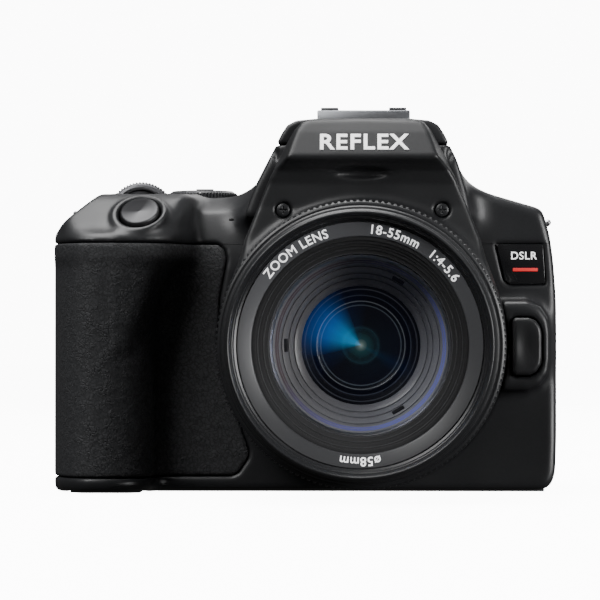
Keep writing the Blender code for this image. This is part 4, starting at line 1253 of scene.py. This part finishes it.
class DSLR_OT_finder(Step, bpy.types.Operator):
    """Eyecup, eyepiece lens and dioptre knob"""

    bl_idname = "dslr.finder"
    bl_label = "Finder"

    def execute(self, context):
        cell = sizes().panel_cell / MM
        low, high = (-17, 19.5, 62), (17, 25.8, 85)
        p = lattice(low, high, cell)
        cup = pushed(outline_distance(p[0], p[2], EYEPIECE_OUTLINE), p[1], 20.3, 24.9, 1.3)
        cup = carved(cup, box_distance(p, (-9.5, 10, 69), (9.5, 40, 79.5), 1.5), 1.5)
        cup = carved(cup, ball(p, (0, 30.2, 74.2), (19, 7.2, 11)), 1.0)
        add_piece("eyecup_rubber", cast("eyecup", cup, low, cell), "soft", "eyecup", ["eyecup"], smooth=50)
        refined("eyepiece_lens", "screen", 0.4)
        knob = turned(
            "diopter", rounded_profile([(0, 0.3), (2.4, 0.3), (2.4, 2.7), (0, 2.7)], 0.2), 24 * 8,
            ribs(24, 0.2, 0.5, 2.5)
        )
        add_piece(
            "diopter_wheel", knob, "dial", "diopter_knob", ["diopter_knob"],
            along((-1, 0, 0), (-16, 17.8, 75)), 30
        )
        return {"FINISHED"}


class DSLR_OT_screen(Step, bpy.types.Operator):
    """The side-hinged screen: hinge block, case and cover glass"""

    bl_idname = "dslr.screen"
    bl_label = "Screen"

    def execute(self, context):
        refined("lcd_hinge_block", "plastic", 0.4)
        refined("lcd_case", "plastic", 0.25)
        refined("lcd_glass", "screen", 0.2)
        low, high = span("lcd_glass")
        active = rounded_box(
            (low.x + 2.6, high.y - 0.02, low.z + 3), (high.x - 2.6, high.y + 0.02, high.z - 3), 0.015
        )
        add_piece("lcd_active_area", active, "dark", "screen", (), None, 0)
        for i in range(5):
            rib = rounded_box((-33.6, 11.4 + i * 1.1, 28), (-33.0, 11.9 + i * 1.1, 36), 0.15)
            add_piece(f"lcd_finger_rib_{i + 1}", rib, "plastic", "screen")
        return {"FINISHED"}


class DSLR_OT_doors(Step, bpy.types.Operator):
    """Base plate, battery door, port covers, strap lugs and tripod socket"""

    bl_idname = "dslr.doors"
    bl_label = "Doors and base"

    def execute(self, context):
        refined("bottom_plate", "plastic", 0.15)
        refined("battery_door", "plastic", 0.25)
        refined("battery_latch", "gloss", 0.12)
        refined("port_cover_front", "soft", 0.3)
        refined("port_cover_rear", "soft", 0.3)
        refined("strap_lug_left", "metal", 0.3, segments=3)
        refined("strap_lug_right", "metal", 0.3, segments=3)
        thread = [(5.5, 8.5), (5.5, 0.2), (3.5, 0.2)]
        turns = 6
        for i in range(turns):
            height = 0.6 + 7.6 * i / turns
            thread += [(3.12, height), (3.45, height + 7.6 / turns / 2)]
        thread.append((3.2, 8.5))
        socket = turned("tripod_socket", thread, 72)
        add_piece(
            "tripod_thread", socket, "metal", ROOT, ["tripod_socket"], along((0, 0, 1), (0, -14, 0)), 20
        )
        return {"FINISHED"}


class DSLR_OT_inside(Step, bpy.types.Operator):
    """Finishes for the pieces inside the body, whose shapes are already right"""

    bl_idname = "dslr.inside"
    bl_label = "Inside"

    def execute(self, context):
        for node, name in (
            ("mirror_box", "dark"), ("reflex_mirror", "mirror"), ("pentamirror", "dark"),
            ("image_sensor", "screen"),
            ("main_board", "board"), ("battery_pack", "dark"), ("lens_lock_pin", "metal"),
            ("mount_ring", "metal"),
            ("lens_bayonet", "barrel"),
        ):
            carried(node, name)
        return {"FINISHED"}


class DSLR_OT_lens(Step, bpy.types.Operator):
    """The lens: fixed barrel, ribbed rings, extending barrel and name ring"""

    bl_idname = "dslr.lens"
    bl_label = "Lens"

    def execute(self, context):
        wide = sizes().lens_radius / MM
        barrel = [
            (29.3, 90.0), (30.3, 90.0), (30.3, 60.6), (32.2, 60.6), (32.6, 60.2), (32.6, 55.2),
            (32.3, 54.9), (32.6, 54.6),
            (32.6, 50), (32.2, 48.4), (31.6, 46.7), (29.3, 46.7),
        ]
        self.ring("lens_barrel_ring", barrel, "barrel", ROOT, "lens_barrel")
        zoom = [
            (30.65, 61), (30.65, 86.0), (31.15, 86.3), (31.35, 86.15), (31.5, 86.3), (32.3, 86.3),
            (32.75, 86.1),
            (wide, 85.3), (wide, 63.6), (wide - 0.05, 63.1), (32.5, 62.5), (32.5, 61.2), (32.2, 61),
        ]
        count = sizes().zoom_ribs
        self.ring(
            "zoom_ring_grip", zoom, "barrel", "zoom_ring", "zoom_ring", count * 6,
            ribs(count, 0.5, 63.3, 86.0, 0.5, 5), 0.08
        )
        inner = [
            (27.75, 62), (27.75, 102.95), (28.25, 103.15), (28.35, 104.7), (28.6, 104.95), (28.9, 104.95),
            (29.1, 105.5),
            (29.5, 105.95), (29.9, 105.85), (30.15, 105.3), (30.45, 105.0), (30.5, 97.2), (28.9, 97.2),
            (28.9, 62),
        ]
        self.ring("extending_barrel", inner, "barrel", "inner_barrel", "inner_barrel")
        focus = [
            (29.25, 90.6), (29.25, 96.8), (30.6, 96.85), (31.2, 96.7), (31.5, 96.3), (31.5, 91.2),
            (31.2, 90.7), (30.6, 90.6),
        ]
        count = sizes().focus_ribs
        self.ring(
            "focus_ring_grip", focus, "barrel", "focus_ring", "focus_ring", count * 6,
            ribs(count, 0.3, 91.4, 96.1, 0.5, 5), 0.06
        )
        name_ring = [
            (20.6, 97.3), (20.6, 99.2), (21.5, 99.25), (21.75, 99.75), (22.05, 99.75), (22.2, 100.05),
            (22.85, 100.1),
            (23.05, 100.6), (23.3, 100.6), (23.5, 100.95), (24.3, 101.0), (24.5, 101.5), (24.65, 101.6),
            (27.45, 102.75), (27.6, 102.7), (27.6, 100.4),
        ]
        self.ring("name_ring", name_ring, "name_ring", "inner_barrel", "front_trim_ring", rounding=0.04)
        baffle = [
            (20.7, 99.3), (21.5, 99.35), (21.8, 99.86), (22.1, 99.86), (22.25, 100.15), (22.9, 100.2),
            (23.1, 100.7), (23.35, 100.7), (23.55, 101.05), (24.4, 101.1), (24.4, 100.9), (20.7, 99.1),
        ]
        self.ring("baffle_steps", baffle, "dark", "inner_barrel", None, rounding=0.03)
        for radius, height in ((24.46, 101.25), (22.98, 100.52), (21.66, 99.72)):
            turns = np.linspace(0, 2 * math.pi, 8, False)
            crest = [(radius + 0.09 * math.cos(a), height + 0.09 * math.sin(a)) for a in turns]
            self.ring(
                f"baffle_crest_{round(radius * 10)}", crest, "baffle", "inner_barrel", None, rounding=0
            )
        # A dead black ring of painted shade in the gap between the name ring and the barrel.
        gap = [(27.62, 102.4), (28.2, 102.4), (28.2, 101.2), (27.62, 101.2)]
        self.ring("name_ring_gap_shade", gap, "dark", "inner_barrel", None, rounding=0.03)
        return {"FINISHED"}

    @staticmethod
    def ring(name, profile, finish_name, body, node, steps=224, shape=None, rounding=0.12):
        """A ring of the lens. Heights count forward from the image plane."""
        if rounding:
            profile = rounded_profile(profile, rounding, 2)
        mesh = turned(name, profile, steps, shape)
        add_piece(name, mesh, finish_name, body, [node] if node else (), LENS_PLACE, 30)


class DSLR_OT_glass(Step, bpy.types.Operator):
    """Front glass, inner barrel rings and the dark inner element"""

    bl_idname = "dslr.glass"
    bl_label = "Glass"

    def execute(self, context):
        ring = DSLR_OT_lens.ring
        front = [(0, 99.0), (5, 98.85), (10, 98.4), (15, 97.5), (20.2, 96.0), (20.2, 95.5), (0, 98.2)]
        ring("front_glass", front, "glass", "inner_barrel", "front_element", 128, rounding=0)
        rim = [(19.75, 96.6), (20.35, 97.6), (20.55, 97.5), (20.55, 94.6), (19.75, 94.6)]
        ring("front_glass_rim", rim, "satin_metal", "inner_barrel", None, rounding=0.05)
        steps = [
            (13.6, 84.0), (14.1, 84.6), (15.1, 85.4), (15.3, 85.2), (15.5, 86.0), (16.3, 87.0),
            (16.5, 86.8), (16.7, 87.6),
            (17.8, 88.9), (18.0, 88.7), (18.2, 89.4), (19.0, 90.8), (19.2, 90.6), (19.5, 91.6),
            (20.6, 92.6), (21.2, 92.6),
            (21.2, 70), (13.8, 70),
        ]
        ring("inner_barrel_rings", steps, "cell", "inner_barrel", "optical_cell", rounding=0.05)
        # A thin ring at the glass edge that carries a painted reflection.
        edge = [(18.6, 90.25), (19.9, 91.9), (19.9, 91.5), (18.6, 89.9)]
        ring("glass_edge_painted_reflection", edge, "edge", "inner_barrel", None, rounding=0)
        # Three dark blocks on the inner rings stand in for notches, as painted shade.
        for i in range(3):
            angle = math.radians(60 + 120 * i)
            notch = rounded_box((-1.5, -0.45, 0), (1.5, 0.45, 0.5), 0.1)
            place = LENS_PLACE @ Matrix.Translation(
                Vector((17.0 * math.cos(angle), 17.0 * math.sin(angle), 88.0)) * MM
            ) @ Matrix.Rotation(angle + math.pi / 2, 4, "Z")
            add_piece(f"inner_barrel_notch_shade_{i + 1}", notch, "dark", "inner_barrel", (), place)
        inner = [(0, 84.6), (4, 84.3), (8, 83.5), (11, 82.5), (13.7, 81.4), (13.7, 79.5), (0, 79.5)]
        ring("inner_glass", inner, "deep_glass", "inner_barrel", None, 128, rounding=0)
        return {"FINISHED"}


class DSLR_OT_markings(Step, bpy.types.Operator):
    """Plain printed numbers on the name ring, and generic words on the brow and the nameplate"""

    bl_idname = "dslr.markings"
    bl_label = "Markings"

    def execute(self, context):
        self.arc("lens_kind", "ZOOM LENS", 125)
        self.arc("focal_range", "18-55mm", 72.5)
        self.arc("aperture_range", "1:4-5.6", 43.5)
        self.arc("filter_size", "ø58mm", 270)
        word = letter_mesh("REFLEX", 4.4, 0.08, 0.14, 1.12)
        lean = math.atan2(5.5, 3.0)
        place = Matrix.Translation(Vector((0.2, -43.72, 84.0)) * MM) @ Matrix.Rotation(lean, 4, "X")
        add_piece("brow_word", word, "marking", ROOT, (), place, 0)
        word = letter_mesh("DSLR", 1.9, 0.04, 0.03, 1.1)
        place = Matrix.Translation(Vector((38.9, -32.36, 57.1)) * MM) @ Matrix.Rotation(math.pi / 2, 4, "X")
        add_piece("nameplate_word", word, "marking", ROOT, (), place, 0)
        add_piece("nameplate_bar", rounded_box((36.3, -32.45, 53.4), (42.3, -32.3, 54.2), 0.05), "accent")
        return {"FINISHED"}

    @staticmethod
    def arc(name, text, middle):
        """A word bent round the name ring, clockwise, with its middle at an angle in degrees."""
        radius, slope = 25.95, 1.15 / 2.8
        mesh = letter_mesh(text, 2.1, 0.02, 0.03, 1.1)
        for vertex in mesh.vertices:
            across, up, out = vertex.co / MM
            reach = radius + up
            angle = math.radians(middle) - across / radius
            front = 101.62 + (reach - 24.65) * slope + out
            vertex.co = Vector((reach * math.cos(angle), reach * math.sin(angle), front)) * MM
        add_piece(name, mesh, "marking", "inner_barrel", (), LENS_PLACE, 0)


# Each lamp has a name, a place and a width in metres, and a power in watts.
LAMPS = (
    ("key", (-0.55, -0.60, 0.75), 0.55, 9.0), ("fill", (0.90, -0.60, 0.12), 0.5, 14.0),
    ("top", (-0.10, 0.02, 0.80), 0.55, 8.0), ("back", (0.3, 0.9, 0.6), 0.7, 4.0),
)


class DSLR_OT_stage(Step, bpy.types.Operator):
    """Pale floor, soft lights, plain backdrop light and the camera"""

    bl_idname = "dslr.stage"
    bl_label = "Stage"

    def execute(self, context):
        bm = bmesh.new()
        bmesh.ops.create_grid(bm, x_segments=1, y_segments=1, size=6)
        floor = bpy.data.objects.new("floor", bmesh_to_mesh(bm, "floor"))
        context.scene.collection.objects.link(floor)
        floor.data.materials.append(finish("floor"))
        shader = finish("floor").node_tree.nodes["Principled BSDF"]
        shader.inputs["Emission Color"].default_value = (1, 1, 1, 1)
        shader.inputs["Emission Strength"].default_value = 11.0
        floor.visible_diffuse = floor.visible_glossy = False
        self.lights(context)
        self.world(context)
        self.view(context)
        return {"FINISHED"}

    @staticmethod
    def lights(context):
        """Soft boxes, aimed at the middle of the camera."""
        for name, place, size, power in LAMPS:
            light = bpy.data.lights.new(name, "AREA")
            light.size = size
            light.energy = power
            obj = bpy.data.objects.new(name, light)
            context.scene.collection.objects.link(obj)
            obj.location = place
            aim = Vector((0, -0.03, 0.045)) - Vector(place)
            obj.rotation_euler = aim.to_track_quat("-Z", "Y").to_euler()

    @staticmethod
    def world(context):
        """White to the camera, dim to the object."""
        world = bpy.data.worlds.new("studio")
        context.scene.world = world
        world.use_nodes = True
        tree = world.node_tree
        dim = tree.nodes["Background"]
        dim.inputs["Color"].default_value = (1, 1, 1, 1)
        dim.inputs["Strength"].default_value = 0.05
        white = tree.nodes.new("ShaderNodeBackground")
        white.inputs["Strength"].default_value = 14.0
        path = tree.nodes.new("ShaderNodeLightPath")
        mix = tree.nodes.new("ShaderNodeMixShader")
        tree.links.new(path.outputs["Is Camera Ray"], mix.inputs[0])
        tree.links.new(dim.outputs[0], mix.inputs[1])
        tree.links.new(white.outputs[0], mix.inputs[2])
        tree.links.new(mix.outputs[0], tree.nodes["World Output"].inputs["Surface"])

    @staticmethod
    def view(context):
        lens = bpy.data.cameras.new("view")
        lens.lens = 224
        lens.sensor_width = 36
        lens.clip_start, lens.clip_end = 0.05, 50
        camera = bpy.data.objects.new("view", lens)
        context.scene.collection.objects.link(camera)
        camera.location = (0.0080, -0.937, 0.0354)
        aim = Vector((-0.0134, -0.104, 0.0456)) - camera.location
        camera.rotation_euler = aim.to_track_quat("-Z", "Y").to_euler()
        context.scene.camera = camera


STEPS = (
    DSLR_OT_covers, DSLR_OT_rubber, DSLR_OT_front_panel, DSLR_OT_flash, DSLR_OT_shoe, DSLR_OT_dials,
    DSLR_OT_buttons,
    DSLR_OT_finder, DSLR_OT_screen, DSLR_OT_doors, DSLR_OT_inside, DSLR_OT_lens, DSLR_OT_glass,
    DSLR_OT_markings,
    DSLR_OT_stage,
)


class DSLR_PT_panel(bpy.types.Panel):
    bl_label = "Compact reflex camera"
    bl_idname = "DSLR_PT_panel"
    bl_space_type = "VIEW_3D"
    bl_region_type = "UI"
    bl_category = "Camera"

    def draw(self, context):
        for group in (context.scene.camera_sizes, context.scene.camera_colours):
            box = self.layout.box()
            for name in group.bl_rna.properties.keys():
                if name not in ("rna_type", "name"):
                    box.prop(group, name)
        for step in STEPS:
            self.layout.operator(step.bl_idname)


CLASSES = (CameraSizes, CameraColours, *STEPS, DSLR_PT_panel)


def register():
    for cls in CLASSES:
        bpy.utils.register_class(cls)
    bpy.types.Scene.camera_sizes = bpy.props.PointerProperty(type=CameraSizes)
    bpy.types.Scene.camera_colours = bpy.props.PointerProperty(type=CameraColours)


def unregister():
    del bpy.types.Scene.camera_sizes
    del bpy.types.Scene.camera_colours
    for cls in reversed(CLASSES):
        bpy.utils.unregister_class(cls)


def main():
    register()
    for step in STEPS:
        category, name = step.bl_idname.split(".")
        getattr(getattr(bpy.ops, category), name)()


if __name__ == "__main__":
    main()
